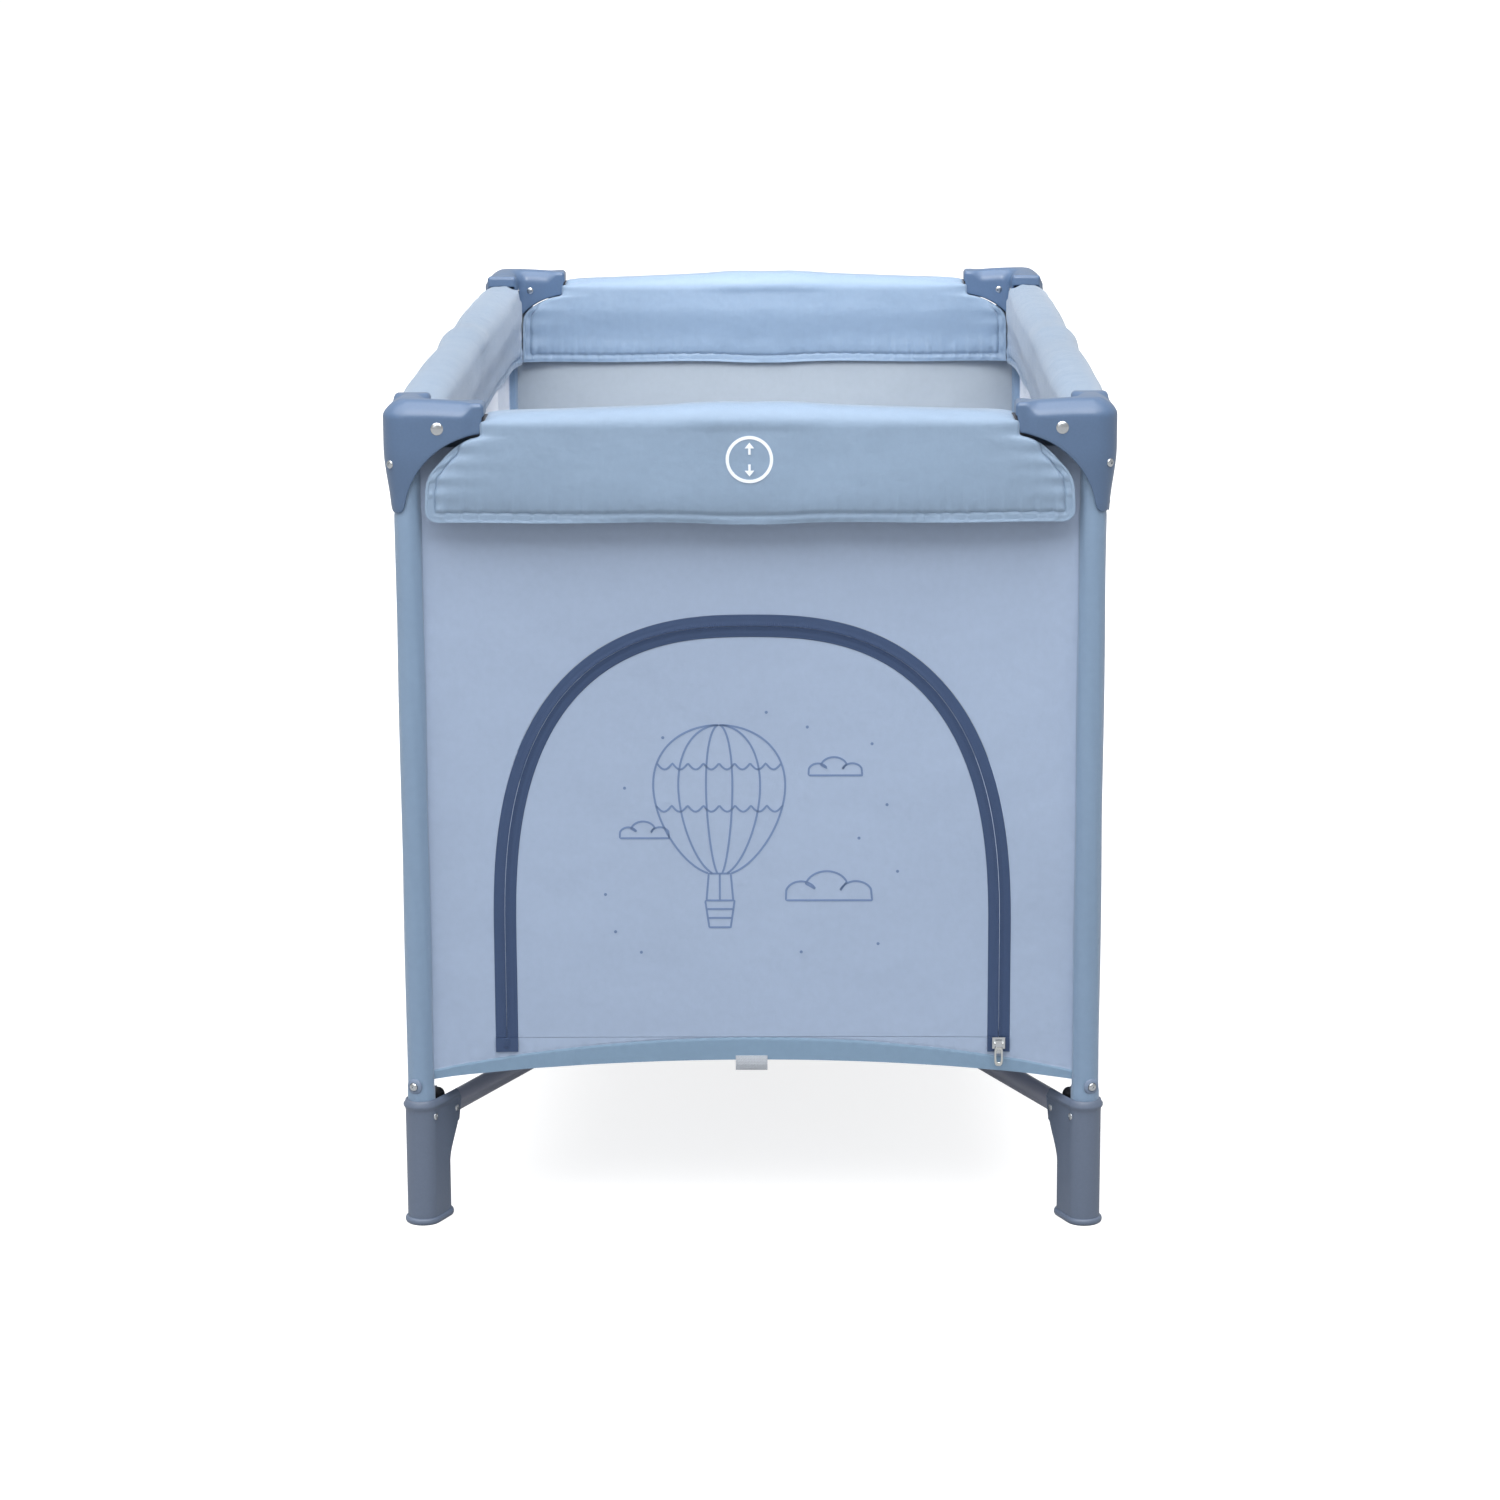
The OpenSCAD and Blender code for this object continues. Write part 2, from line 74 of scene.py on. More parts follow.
def half_size(node):
    """Half of a part's box along each axis."""
    low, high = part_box(node)
    return (np.array(high) - np.array(low)) / 2


def grid_quads(rows, columns, wrap=False):
    """The four corners of each quad between a grid's neighbours; wrap joins the last column to the first."""
    number = np.arange(rows * columns).reshape(rows, columns)
    if wrap:
        number = np.concatenate([number, number[:, :1]], axis=1)
    quads = np.stack([number[:-1, :-1], number[1:, :-1], number[1:, 1:], number[:-1, 1:]], axis=-1)
    return quads.reshape(-1, 4)


def make_piece(name, points, quads, stuff, crease, cut=None, merge=0.0):
    """An object of its own from points and quads, shaded smooth, with its normals turned outwards.

    Points nearer than merge become one. Edges sharper than crease degrees stay crisp. cut holds the
    cloth's flat place of each point, in metres, and becomes the piece's own map.
    """
    mesh = bpy.data.meshes.new(name)
    mesh.from_pydata(points.reshape(-1, 3).tolist(), [], quads.tolist())
    mesh.materials.append(stuff)
    if cut is not None:
        flat = mesh.uv_layers.new(name="cut")
        flat.data.foreach_set("uv", cut.reshape(-1, 2)[quads.ravel()].astype(np.float32).ravel())
    work = bmesh.new()
    work.from_mesh(mesh)
    if merge:
        bmesh.ops.remove_doubles(work, verts=work.verts, dist=merge)
    bmesh.ops.dissolve_degenerate(work, dist=1e-7, edges=work.edges)
    bmesh.ops.recalc_face_normals(work, faces=work.faces)
    work.to_mesh(mesh)
    work.free()
    mesh.shade_smooth()
    mesh.set_sharp_from_angle(angle=math.radians(crease))
    piece = bpy.data.objects.new(name, mesh)
    bpy.context.collection.objects.link(piece)
    return piece


def make_skin(name, grid, stuff, wrap=False, crease=55, cut=None):
    """One closed skin from a grid of points, with its doubles merged."""
    quads = grid_quads(*grid.shape[:2], wrap)
    return make_piece(name, grid, quads, stuff, crease, cut, merge=1e-6)


def to_linear(red, green, blue):
    """A display colour from 0 to 255 as linear light: ((c + 0.055) / 1.055) to the power 2.4, and
    c / 12.92 for the darkest."""
    display = np.array([red, green, blue], float) / 255
    light = np.where(display > 0.04045, ((display + 0.055) / 1.055) ** 2.4, display / 12.92)
    return light.tolist()


def work_out(tree, operation, *terms):
    """One Math node, whose terms are numbers or other nodes' outputs."""
    step = tree.nodes.new("ShaderNodeMath")
    step.operation = operation
    for place, term in enumerate(terms):
        if isinstance(term, (int, float)):
            step.inputs[place].default_value = term
        else:
            tree.links.new(term, step.inputs[place])
    return step.outputs[0]


def new_effect(name, knobs, result):
    """An empty shared effect: a Vector, number knobs with their first values, and one number out."""
    effect = bpy.data.node_groups.new(name, "ShaderNodeTree")
    effect.interface.new_socket("Vector", in_out="INPUT", socket_type="NodeSocketVector")
    for knob, start in knobs.items():
        socket = effect.interface.new_socket(knob, in_out="INPUT", socket_type="NodeSocketFloat")
        socket.default_value = start
    effect.interface.new_socket(result, in_out="OUTPUT", socket_type="NodeSocketFloat")
    return effect, effect.nodes.new("NodeGroupInput"), effect.nodes.new("NodeGroupOutput")


def place_effect(tree, effect, source, **values):
    """Puts a shared effect into a material, fed with source and its own values."""
    used = tree.nodes.new("ShaderNodeGroup")
    used.node_tree = effect
    tree.links.new(source, used.inputs["Vector"])
    for knob, value in values.items():
        used.inputs[knob].default_value = value
    return used.outputs[0]


def build_weave():
    """A plain weave: the crowns of crossing threads, |sin| along each way, take turns like a chessboard."""
    effect, knobs, result = new_effect("weave", {"Count": 1500.0}, "Height")
    apart = effect.nodes.new("ShaderNodeSeparateXYZ")
    effect.links.new(knobs.outputs["Vector"], apart.inputs[0])
    warp = work_out(effect, "MULTIPLY", apart.outputs[0], knobs.outputs["Count"])
    weft = work_out(effect, "MULTIPLY", apart.outputs[1], knobs.outputs["Count"])
    crowns = []
    for way in (warp, weft):
        wave = work_out(effect, "SINE", work_out(effect, "MULTIPLY", way, math.pi))
        crowns.append(work_out(effect, "ABSOLUTE", wave))
    cell = work_out(effect, "ADD", work_out(effect, "FLOOR", warp), work_out(effect, "FLOOR", weft))
    turn = work_out(effect, "FLOORED_MODULO", cell, 2.0)
    over = work_out(effect, "MULTIPLY", crowns[0], turn)
    under = work_out(effect, "MULTIPLY", crowns[1], work_out(effect, "SUBTRACT", 1.0, turn))
    effect.links.new(work_out(effect, "ADD", over, under), result.inputs["Height"])
    return effect


def build_mottle():
    """A slow cloud of noise, stretched to run from Low to High."""
    effect, knobs, result = new_effect("mottle", {"Scale": 6.0, "Low": 0.95, "High": 1.05}, "Shade")
    cloud = effect.nodes.new("ShaderNodeTexNoise")
    cloud.inputs["Detail"].default_value = 4.0
    effect.links.new(knobs.outputs["Vector"], cloud.inputs["Vector"])
    effect.links.new(knobs.outputs["Scale"], cloud.inputs["Scale"])
    spread = effect.nodes.new("ShaderNodeMapRange")
    spread.inputs["From Min"].default_value = 0.3
    spread.inputs["From Max"].default_value = 0.7
    effect.links.new(cloud.outputs["Fac"], spread.inputs["Value"])
    effect.links.new(knobs.outputs["Low"], spread.inputs["To Min"])
    effect.links.new(knobs.outputs["High"], spread.inputs["To Max"])
    effect.links.new(spread.outputs["Result"], result.inputs["Shade"])
    return effect


weave = build_weave()
mottle = build_mottle()


def shade_colour(tree, colour, shade):
    """The colour in linear light, made darker and lighter by shade."""
    scaled = tree.nodes.new("ShaderNodeVectorMath")
    scaled.operation = "SCALE"
    scaled.inputs[0].default_value = to_linear(*colour)
    tree.links.new(shade, scaled.inputs["Scale"])
    return scaled.outputs[0]


def mix_cloth(name, colour, count=1500.0, relief=0.00010, crease=0.0005, roughness=0.45, sheen=0.25):
    """Satin polyester: a weave that follows the cut, slow changes of shade, and soft creases in relief."""
    cloth = bpy.data.materials.new(name)
    cloth.use_nodes = True
    tree = cloth.node_tree
    shader = tree.nodes["Principled BSDF"]
    where = tree.nodes.new("ShaderNodeTexCoord")
    height = place_effect(tree, weave, where.outputs["UV"], Count=count)
    slow = place_effect(tree, mottle, where.outputs["Object"], Scale=4.0, Low=0.965, High=1.03)
    fine = place_effect(tree, mottle, where.outputs["Object"], Scale=140.0, Low=0.98, High=1.02)
    woven = work_out(tree, "MULTIPLY_ADD", height, 0.06, 0.965)
    shade = work_out(tree, "MULTIPLY", work_out(tree, "MULTIPLY", slow, fine), woven)
    tree.links.new(shade_colour(tree, colour, shade), shader.inputs["Base Color"])
    creases = place_effect(tree, mottle, where.outputs["Object"], Scale=22.0, Low=0.0, High=crease)
    rise = work_out(tree, "MULTIPLY_ADD", height, relief, creases)
    bump = tree.nodes.new("ShaderNodeBump")
    bump.inputs["Distance"].default_value = 1.0
    tree.links.new(rise, bump.inputs["Height"])
    tree.links.new(bump.outputs[0], shader.inputs["Normal"])
    shader.inputs["Roughness"].default_value = roughness
    shader.inputs["Sheen Weight"].default_value = sheen
    shader.inputs["Sheen Roughness"].default_value = 0.35
    return cloth


post_x, post_y = middle("post_front_right")[0], middle("post_back_right")[1]
pen_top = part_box("cap_front_left")[1][2]
rim_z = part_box("foot_front_left")[1][2]
corners = {
    "front_left": (-1, -1),
    "front_right": (1, -1),
    "back_left": (-1, 1),
    "back_right": (1, 1),
}
sleeve_cloth = mix_cloth("sleeve_cloth", (124, 148, 175))
sleeve_round = 0.0126
sleeve_wall = 0.0010
sleeve_seam = 0.0010
sleeve_hem = 0.0006
sleeve_hem_up = 0.011
sleeve_tuck = 0.0007
sleeve_foot = rim_z - 0.004
sleeve_top = pen_top - 0.040
cap_foot_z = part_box("cap_front_left")[0][2]


def bell(offset, width):
    """exp(-(offset / width)^2): 1 in the middle and fading to either side."""
    return np.exp(-((offset / width) ** 2))


def fade_above(value, level, soft):
    """A smooth step from 1 down to 0 as value passes level: 1 / (1 + exp((value - level) / soft))."""
    return 1 / (1 + np.exp(np.clip((value - level) / soft, -500, 500)))


def sleeve_skin(sx, sy):
    """Round the post by angle a and up by z. The radius is the sleeve's, with lengthwise drag folds
    0.3 mm * sin(5a + 9 pi z) * sin(3a + 2) deep, a seam ridge towards the pen's middle and a thicker hem
    below; it is drawn tighter where it goes up into the cap."""
    turn = np.linspace(0, 2 * math.pi, 73)[:-1][None, :]
    z = np.linspace(sleeve_foot, sleeve_top, 150)[:, None]
    drag = 0.0003 * np.sin(5 * turn + 9 * z * math.pi) * np.sin(3 * turn + 2)
    seam_at = math.atan2(-sy, -sx)
    apart = np.abs((turn - seam_at + math.pi) % (2 * math.pi) - math.pi)
    seam = sleeve_seam * bell(apart, 0.12)
    hem = sleeve_hem * fade_above(z, rim_z + sleeve_hem_up, 0.0006)
    tucked = sleeve_tuck * fade_above(cap_foot_z, z, 0.0012)
    outer = sleeve_round + drag + seam + hem - tucked
    inner = sleeve_round - sleeve_wall - tucked + 0 * turn
    radius = np.concatenate([outer, inner[::-1], outer[:1]])
    up = np.concatenate([z, z[::-1], z[:1]]) + 0 * turn
    x = sx * post_x + radius * np.cos(turn)
    y = sy * post_y + radius * np.sin(turn)
    cut = np.stack([turn * sleeve_round + 0 * up, up], axis=-1)
    return np.stack([x, y, up], axis=-1), cut


for corner, (sx, sy) in corners.items():
    points, cut = sleeve_skin(sx, sy)
    sleeve = make_skin("sleeve_" + corner, points, sleeve_cloth, wrap=True, cut=cut)
    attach(sleeve, "post_" + corner)


# Corner caps: hollow L-shaped mouldings in slate blue plastic, pushed over the posts and riveted to the
# rails. Each is one wall carried round the L: over the rounded roof, down to a lower edge that sweeps
# from the arm's end to the leg's tip, round that edge and up inside.
def mix_moulding(name, colour, roughness=0.4, grain=0.00002, coat=0.0, metal=0.0, high=1.05):
    """Moulded plastic or plated metal: slow changes of shade and gloss, and a fine grain in relief."""
    moulding = bpy.data.materials.new(name)
    moulding.use_nodes = True
    tree = moulding.node_tree
    shader = tree.nodes["Principled BSDF"]
    where = tree.nodes.new("ShaderNodeTexCoord").outputs["Object"]
    slow = place_effect(tree, mottle, where, Scale=9.0, Low=0.96, High=high)
    fine = place_effect(tree, mottle, where, Scale=420.0, Low=0.975, High=1.025)
    shade = work_out(tree, "MULTIPLY", slow, fine)
    tree.links.new(shade_colour(tree, colour, shade), shader.inputs["Base Color"])
    gloss = place_effect(tree, mottle, where, Scale=30.0, Low=roughness * 0.88, High=roughness * 1.12)
    tree.links.new(gloss, shader.inputs["Roughness"])
    sparks = place_effect(tree, mottle, where, Scale=1600.0, Low=0.0, High=grain)
    bump = tree.nodes.new("ShaderNodeBump")
    bump.inputs["Distance"].default_value = 1.0
    tree.links.new(sparks, bump.inputs["Height"])
    tree.links.new(bump.outputs[0], shader.inputs["Normal"])
    shader.inputs["Metallic"].default_value = metal
    shader.inputs["Coat Weight"].default_value = coat
    return moulding


cap_plastic = mix_moulding("cap_plastic", (80, 103, 134), roughness=0.38, coat=0.15)
cap_half = -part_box("cap_front_left")[0][0] - post_x
cap_reach = 2 * half_size("cap_front_left")[0] - cap_half
cap_leg = 2 * half_size("cap_front_left")[2]
cap_end_drop = 0.030
cap_corner_round = 0.018
cap_dome_round = 0.0172
cap_roof_round = 0.0150
cap_roof_fall = 0.0040
cap_end_round = 0.0045
cap_end_bend = 0.0040
cap_draft = 0.0022
cap_belly = 0.0040
cap_inner_round = 0.010
cap_wall = 0.0030
cap_tip = 0.0148
cap_tongue_rise = 0.009
cap_mouth_drop = 0.0135
cap_roof_wall = 0.0040
sweep_round = 0.080


def ease(share):
    """A smooth step: 3s squared less 2s cubed, of a share kept between 0 and 1."""
    held = np.clip(share, 0, 1)
    return held * held * (3 - 2 * held)


def find_sweep():
    """Centre of the circle through the arm's end and the leg's tip, as a place along the arm and up."""
    arm = np.array([cap_reach, -cap_end_drop])
    tip = np.array([cap_tip - cap_half, -cap_leg])
    chord = arm - tip
    side = np.array([chord[1], -chord[0]]) / np.linalg.norm(chord)
    return (arm + tip) / 2 + side * math.sqrt(sweep_round**2 - chord @ chord / 4)


sweep_along, sweep_up = find_sweep()


def cap_edge(along):
    """Depth of the cap's lower edge at each place along an arm: the depth of the sweep circle's top or of
    the leg's rounded tongue, whichever is less, with the knee between them eased by a soft minimum."""
    under = np.clip(sweep_round**2 - (along - sweep_along) ** 2, 0, None)
    depth = -sweep_up - np.sqrt(under)
    tongue = cap_leg - cap_tongue_rise * ease((along + 0.0125) / 0.0145) ** 2
    knee = 0.003
    return -knee * np.log(np.exp(-depth / knee) + np.exp(-tongue / knee))


def cap_outline():
    """The L's outline from its outer corner along one arm to its inner corner, then mirrored for the
    other arm: points, and the way out at each. Runs are straight lines and quarter circles."""
    outer, end, inner = cap_corner_round, cap_end_bend, cap_inner_round
    half, far = cap_half, cap_reach

    def bend(x, y, radius, start, stop, count):
        angle = np.linspace(start, stop, count) * math.pi
        out = np.stack([np.cos(angle), np.sin(angle)], axis=-1)
        return np.array([x, y]) + radius * out, out

    def run(a, b, out, count):
        share = np.linspace(0, 1, count)[1:-1, None]
        return np.array(a) * (1 - share) + np.array(b) * share, np.tile(out, (count - 2, 1))

    parts = [
        bend(outer - half, outer - half, outer, -0.75, -0.5, 8),
        run((outer - half, -half), (far - end, -half), (0.0, -1.0), 44),
        bend(far - end, end - half, end, -0.5, 0, 7),
        run((far, end - half), (far, half - end), (1.0, 0.0), 10),
        bend(far - end, half - end, end, 0, 0.5, 7),
        run((far - end, half), (half + inner, half), (0.0, 1.0), 26),
        bend(half + inner, half + inner, -inner, 0.5, 0.25, 5),
    ]
    line = np.concatenate([points for points, _ in parts])
    out = np.concatenate([ways for _, ways in parts])
    return (
        np.concatenate([line, line[::-1][1:-1, ::-1]]),
        np.concatenate([out, out[::-1][1:-1, ::-1]]),
    )


def cap_skin():
    """Rows of the cap's wall about its outline: from the L's spine over a quarter round to the wall, down
    to cap_edge, round a lip of the wall's thickness and up inside to the roof. The wall swells by the
    belly under the roof, the leg draws in by the draft, and the roof falls with the square of the
    distance along the arm."""
    line, out = cap_outline()
    along = np.max(line, axis=1)
    open_end = np.clip((along - cap_reach + 0.004) / 0.003, 0, 1)
    drop = cap_edge(along) * (1 - open_end) + cap_mouth_drop * open_end
    longer = line[:, 0] >= line[:, 1]
    to_diagonal = np.abs(line[:, 0] - line[:, 1])
    on_arm = np.clip(along, 0, cap_reach - 0.014) * np.clip(to_diagonal / 0.010, 0, 1)
    spine = np.stack([np.where(longer, on_arm, 0), np.where(longer, 0, on_arm)], axis=-1)
    near_end = ease((along - cap_reach + 0.022) / 0.014)
    near_corner = ease((0.004 - along) / 0.012)
    roof_round = cap_roof_round + (cap_end_round - cap_roof_round) * near_end
    roof_round = roof_round + (cap_dome_round - cap_roof_round) * near_corner
    rim = line - out * roof_round[:, None]
    outer_face = np.clip(-out.sum(axis=1), 0, 1) * (1 - near_end)
    fall = cap_roof_fall * (on_arm / cap_reach) ** 2

    def row(plan, z):
        deep = ease((-z - 0.070) / (cap_leg - 0.066)) * np.ones(len(plan))
        swollen = ease((-z - 0.001) / 0.014) * (1 - ease((-z - 0.045) / 0.045))
        belly = cap_belly * swollen * outer_face
        drawn = plan + out * (belly - cap_draft * deep)[:, None]
        return np.column_stack([drawn, z - fall * ease((z + 0.032) / 0.032)])

    rows = [row(spine, 0.0), row(spine * 0.5 + rim * 0.5, 0.0)]
    for angle in np.linspace(0, math.pi / 2, 11):
        plan = rim + out * (roof_round * math.sin(angle))[:, None]
        rows.append(row(plan, -roof_round * (1 - math.cos(angle))))
    wall_foot = -drop + cap_wall / 2
    for share in np.linspace(0.1, 1, 10):
        rows.append(row(line, -roof_round + (wall_foot + roof_round) * share))
    for angle in np.linspace(math.pi / 6, math.pi, 6):
        inset = cap_wall / 2 * (1 - math.cos(angle))
        rows.append(row(line - out * inset, wall_foot - cap_wall / 2 * math.sin(angle)))
    rows.append(row(line - out * cap_wall, -roof_round - 0.001))
    rows.append(np.column_stack([rim, -cap_roof_wall - fall]))
    rows.append(np.column_stack([spine, -cap_roof_wall - fall]))
    return np.stack(rows)


cap_grid = cap_skin()
for corner, (sx, sy) in corners.items():
    placed = cap_grid * np.array([-sx, -sy, 1.0]) + np.array([sx * post_x, sy * post_y, pen_top])
    cap = make_skin("moulded_cap_" + corner, placed, cap_plastic, wrap=True)
    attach(cap, "post_" + corner)
    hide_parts("cap_" + corner)


# Feet: moulded boots in dark slate plastic that take the posts' lower ends. A round body flares into the
# bracket that the base tube is pinned in, and a rubber knob in its mouth keeps the tube from knocking.
foot_plastic = mix_moulding("foot_plastic", (94, 106, 126), roughness=0.42)
base_z = middle("base_tube_fl")[2]
base_round = half_size("base_tube_fl")[2]
foot_round = 0.0153
foot_reach = 0.021
foot_pivot = 0.044
bracket_round = 0.0129
bracket_end = foot_pivot + 0.014
foot_wall = 0.0026
foot_bead = 0.0022
lock_and_cap = 0.0578
rail_spans = np.array([post_x, post_y]) - lock_and_cap
base_way = rail_spans / np.linalg.norm(rail_spans)


def on_tube_line(points, sx, sy):
    """Points given along the base tube's line from a post, across it and up, put at that post. The line
    runs as the diagonal of two rails, whose pivots stop short of the post and of the lock's middle."""
    s, n, z = points[..., 0], points[..., 1], points[..., 2]
    x = post_x - (s * base_way[0] + n * base_way[1])
    y = post_y - (s * base_way[1] - n * base_way[0])
    return np.stack([sx * x, sy * y, z], axis=-1)


def foot_skin():
    """A cup with a notch: at height z the outline is a half round about the post and another at a
    distance that eases from the foot's reach to the bracket's end, with flat sides between them.
    Rows run from the sole's middle up the outside, over the rim, and down inside."""
    turn = np.linspace(0, 2 * math.pi, 145)[:-1]
    cos, sin = np.cos(turn), np.sin(turn)
    front = cos > 1e-9

    def ring(z, grow=0.0):
        flare = ease((z - 0.052) / 0.046)
        ahead = foot_reach + flare * (bracket_end - bracket_round - foot_reach)
        far_round = foot_round + flare * (bracket_round - foot_round)
        s = np.where(front, ahead + (far_round + grow) * cos, (foot_round + grow) * cos)
        n = np.where(front, far_round + grow, foot_round + grow) * sin
        return np.stack([s, n], axis=-1)

    def row(outline, z):
        return np.column_stack([outline, z * np.ones(len(turn))])

    notch_z = base_z - base_round - 0.003
    in_notch = front & (np.abs(sin) < 0.83)
    cheek_z = base_z + base_round + 0.004
    rim = np.where(front, cheek_z, rim_z)
    shoulder = ease((np.abs(sin) - 0.90) / 0.10)
    rim = np.where(front, cheek_z + (rim_z - cheek_z) * shoulder * 0.6, rim)
    rim = np.where(in_notch, notch_z, rim)
    middle_line = np.stack([np.where(front, foot_reach, 0.0), 0 * turn], axis=-1)
    rows = [row(middle_line, 0.0), row(ring(0.0) * 0.93 + middle_line * 0.07, 0.0)]
    for angle in np.linspace(-0.4, 0.5, 7) * math.pi:
        rows.append(row(ring(0.0, 0.0025 * math.cos(angle)), 0.0030 + 0.0032 * math.sin(angle)))
    for z in np.linspace(0.0085, notch_z - 0.001, 34):
        rows.append(row(ring(z), z))
    for share in np.linspace(0, 1, 18):
        z = notch_z + (rim - notch_z) * share
        bead = np.where(in_notch, 0, foot_bead * bell(rim - z - 0.0048, 0.0024))
        out = np.stack([cos, sin], axis=-1)
        rows.append(row(ring(base_z) + out * bead[:, None], z))
    inner = ring(base_z, -foot_wall)
    inner = np.where((front & (cos > 0.5))[:, None], ring(base_z, -0.0012), inner)
    rows.append(row(ring(base_z) * 0.4 + inner * 0.6, rim + 0.0008))
    for share in np.linspace(0, 1, 5):
        rows.append(row(inner, rim - 0.0002 + (notch_z - 0.001 - rim) * share))
    rows.append(row(middle_line, notch_z - 0.0012))
    return np.stack(rows)


def knob_skin():
    """A ball that is a tenth taller than wide, cut flat low down: rows from its foot to its top by s along
    the tube, n across it and z up."""
    turn = np.linspace(0, 2 * math.pi, knob_sides, endpoint=False)[None, :]
    lift = np.linspace(-0.25, 0.5, 13)[:, None] * math.pi
    s = knob_at + knob_round * np.cos(lift) * np.cos(turn)
    n = knob_round * np.cos(lift) * np.sin(turn)
    z = knob_z + 1.1 * knob_round * np.sin(lift) + 0 * turn
    dome = np.stack([s, n, z], axis=-1)
    foot = np.stack([np.full(knob_sides, knob_at), np.zeros(knob_sides), dome[0, :, 2]], axis=-1)
    return np.concatenate([foot[None], dome])


rubber = mix_moulding("rubber", (38, 40, 46), roughness=0.55)
knob_at, knob_z, knob_round = 0.0310, rim_z - 0.0045, 0.0064
knob_sides = 32
foot_grid, knob_grid = foot_skin(), knob_skin()
for corner, (sx, sy) in corners.items():
    knob = make_skin("knob_" + corner, on_tube_line(knob_grid, sx, sy), rubber, wrap=True)
    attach(knob, "post_" + corner)
    foot = make_skin("moulded_foot_" + corner, on_tube_line(foot_grid, sx, sy), foot_plastic, wrap=True)
    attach(foot, "post_" + corner)
    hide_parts("foot_" + corner)


# Rivets and screws: domed plated rivets hold the rails in the caps, small pan heads hold caps and feet,
# and a pin carries each base tube. Each head is a profile turned about its own axis.
plated_steel = mix_moulding("plated_steel", (196, 200, 204), roughness=0.22, metal=1.0, high=1.02)
washer_plastic = mix_moulding("washer_plastic", (112, 128, 152), roughness=0.4)
boss_z = rim_z + 0.015
boss_turn = math.radians(24)
boss_seat = 0.0126
boss_screw_seat = 0.0145
head_back = 0.0008


def turned_head(round_at, height, socket=0.0):
    """Profile rows (radius, height) of a head: a pit of the socket's radius in the middle, a dome that is
    a quarter ellipse of the radius by the height, a thin rim, and a flat back."""
    angle = np.linspace(0, math.pi / 2, 9)
    dome = np.column_stack([round_at * np.sin(angle), height * np.cos(angle)])
    back = [(round_at, -head_back), (0.0, -head_back)]
    if not socket:
        return np.concatenate([dome, back])
    keep = dome[dome[:, 0] > socket]
    pit = [(0.0, height * 0.35), (socket * 0.85, height * 0.35), (socket, height * 0.93)]
    return np.concatenate([pit, keep, back])


def turn_about(profile, place, way, count=26):
    """Carries a profile of (radius, height) rows round an axis that stands at place and points along way."""
    axis = np.array(way, float) / np.linalg.norm(way)
    across = np.cross(axis, (0.0, 0.0, 1.0) if abs(axis[2]) < 0.9 else (1.0, 0.0, 0.0))
    across = across / np.linalg.norm(across)
    third = np.cross(axis, across)
    angle = np.linspace(0, 2 * math.pi, count, endpoint=False)
    ring = np.cos(angle)[:, None] * across + np.sin(angle)[:, None] * third
    return np.array(place) + profile[:, 0, None, None] * ring + profile[:, 1, None, None] * axis


def join_pieces(name, made):
    """Joins like pieces into one object."""
    bpy.ops.object.select_all(action="DESELECT")
    for piece in made:
        piece.select_set(True)
    bpy.context.view_layer.objects.active = made[0]
    bpy.ops.object.join()
    made[0].name = made[0].data.name = name
    return made[0]


rail_z = middle("rail_front_l")[2]
cap_pivot = 0.030
cap_screw_z = pen_top - 0.058
rivet = turned_head(0.0062, 0.0026)
small_rivet = turned_head(0.0040, 0.0012)
rivet_proud = cap_belly * 0.8
pan_screw = turned_head(0.0040, 0.0020, socket=0.0013)
foot_screw = turned_head(0.0034, 0.0012, socket=0.0012)
washer = turned_head(0.0075, 0.0022, socket=0.0045)

for corner, (sx, sy) in corners.items():
    out = np.array([sx, sy, 0.0])
    post = np.array([sx * post_x, sy * post_y, 0.0])
    corner_way = out / math.sqrt(2)
    boss_way = np.array([sx * math.sin(boss_turn), sy * math.cos(boss_turn), 0.0])
    cap_corner = (cap_half - cap_corner_round) * math.sqrt(2) + cap_corner_round + rivet_proud
    heads = []
    for way, along in (((0, sy, 0), (-sx, 0, 0)), ((sx, 0, 0), (0, -sy, 0))):
        at = post + np.array(along) * cap_pivot + np.array([0, 0, rail_z])
        heads.append((rivet, at + np.array(way) * (cap_half + rivet_proud), way))
        heads.append((small_rivet, at - np.array(way) * cap_half, -np.array(way)))
    heads.append((pan_screw, post + corner_way * cap_corner + np.array([0, 0, cap_screw_z]), corner_way))
    heads.append((pan_screw, post + boss_way * boss_screw_seat + np.array([0, 0, boss_z]), boss_way))
    for s, n, z in ((0.0, foot_round, base_z + 0.004), (foot_pivot, bracket_round, base_z)):
        for side in (1, -1):
            at = on_tube_line(np.array([s, side * n, z]), sx, sy)
            way = at - on_tube_line(np.array([s, 0.0, z]), sx, sy)
            heads.append((foot_screw, at, way))
    made = [
        make_skin("head", turn_about(profile, at, way), plated_steel, wrap=True)
        for profile, at, way in heads
    ]
    screws = join_pieces("screws_" + corner, made)
    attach(screws, "post_" + corner)
    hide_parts("fasteners_" + corner)
    boss_turned = turn_about(washer, post + boss_way * boss_seat + np.array([0, 0, boss_z]), boss_way)
    boss = make_skin("boss_" + corner, boss_turned, washer_plastic, wrap=True)
    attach(boss, "post_" + corner)


# Frame tubes, locks and hub: rails and posts inside the cloth in a near-black coat whose darkness is partly
# painted shade for the gaps where they show, grey coated tubes under the floor, and dark mouldings at the
# locks and the hub. All keep the frame's own shapes.
def finish_nodes(names, stuff):
    """Gives parts of the frame a finish."""
    for node in names:
        nodes[node].data.materials.clear()
        nodes[node].data.materials.append(stuff)


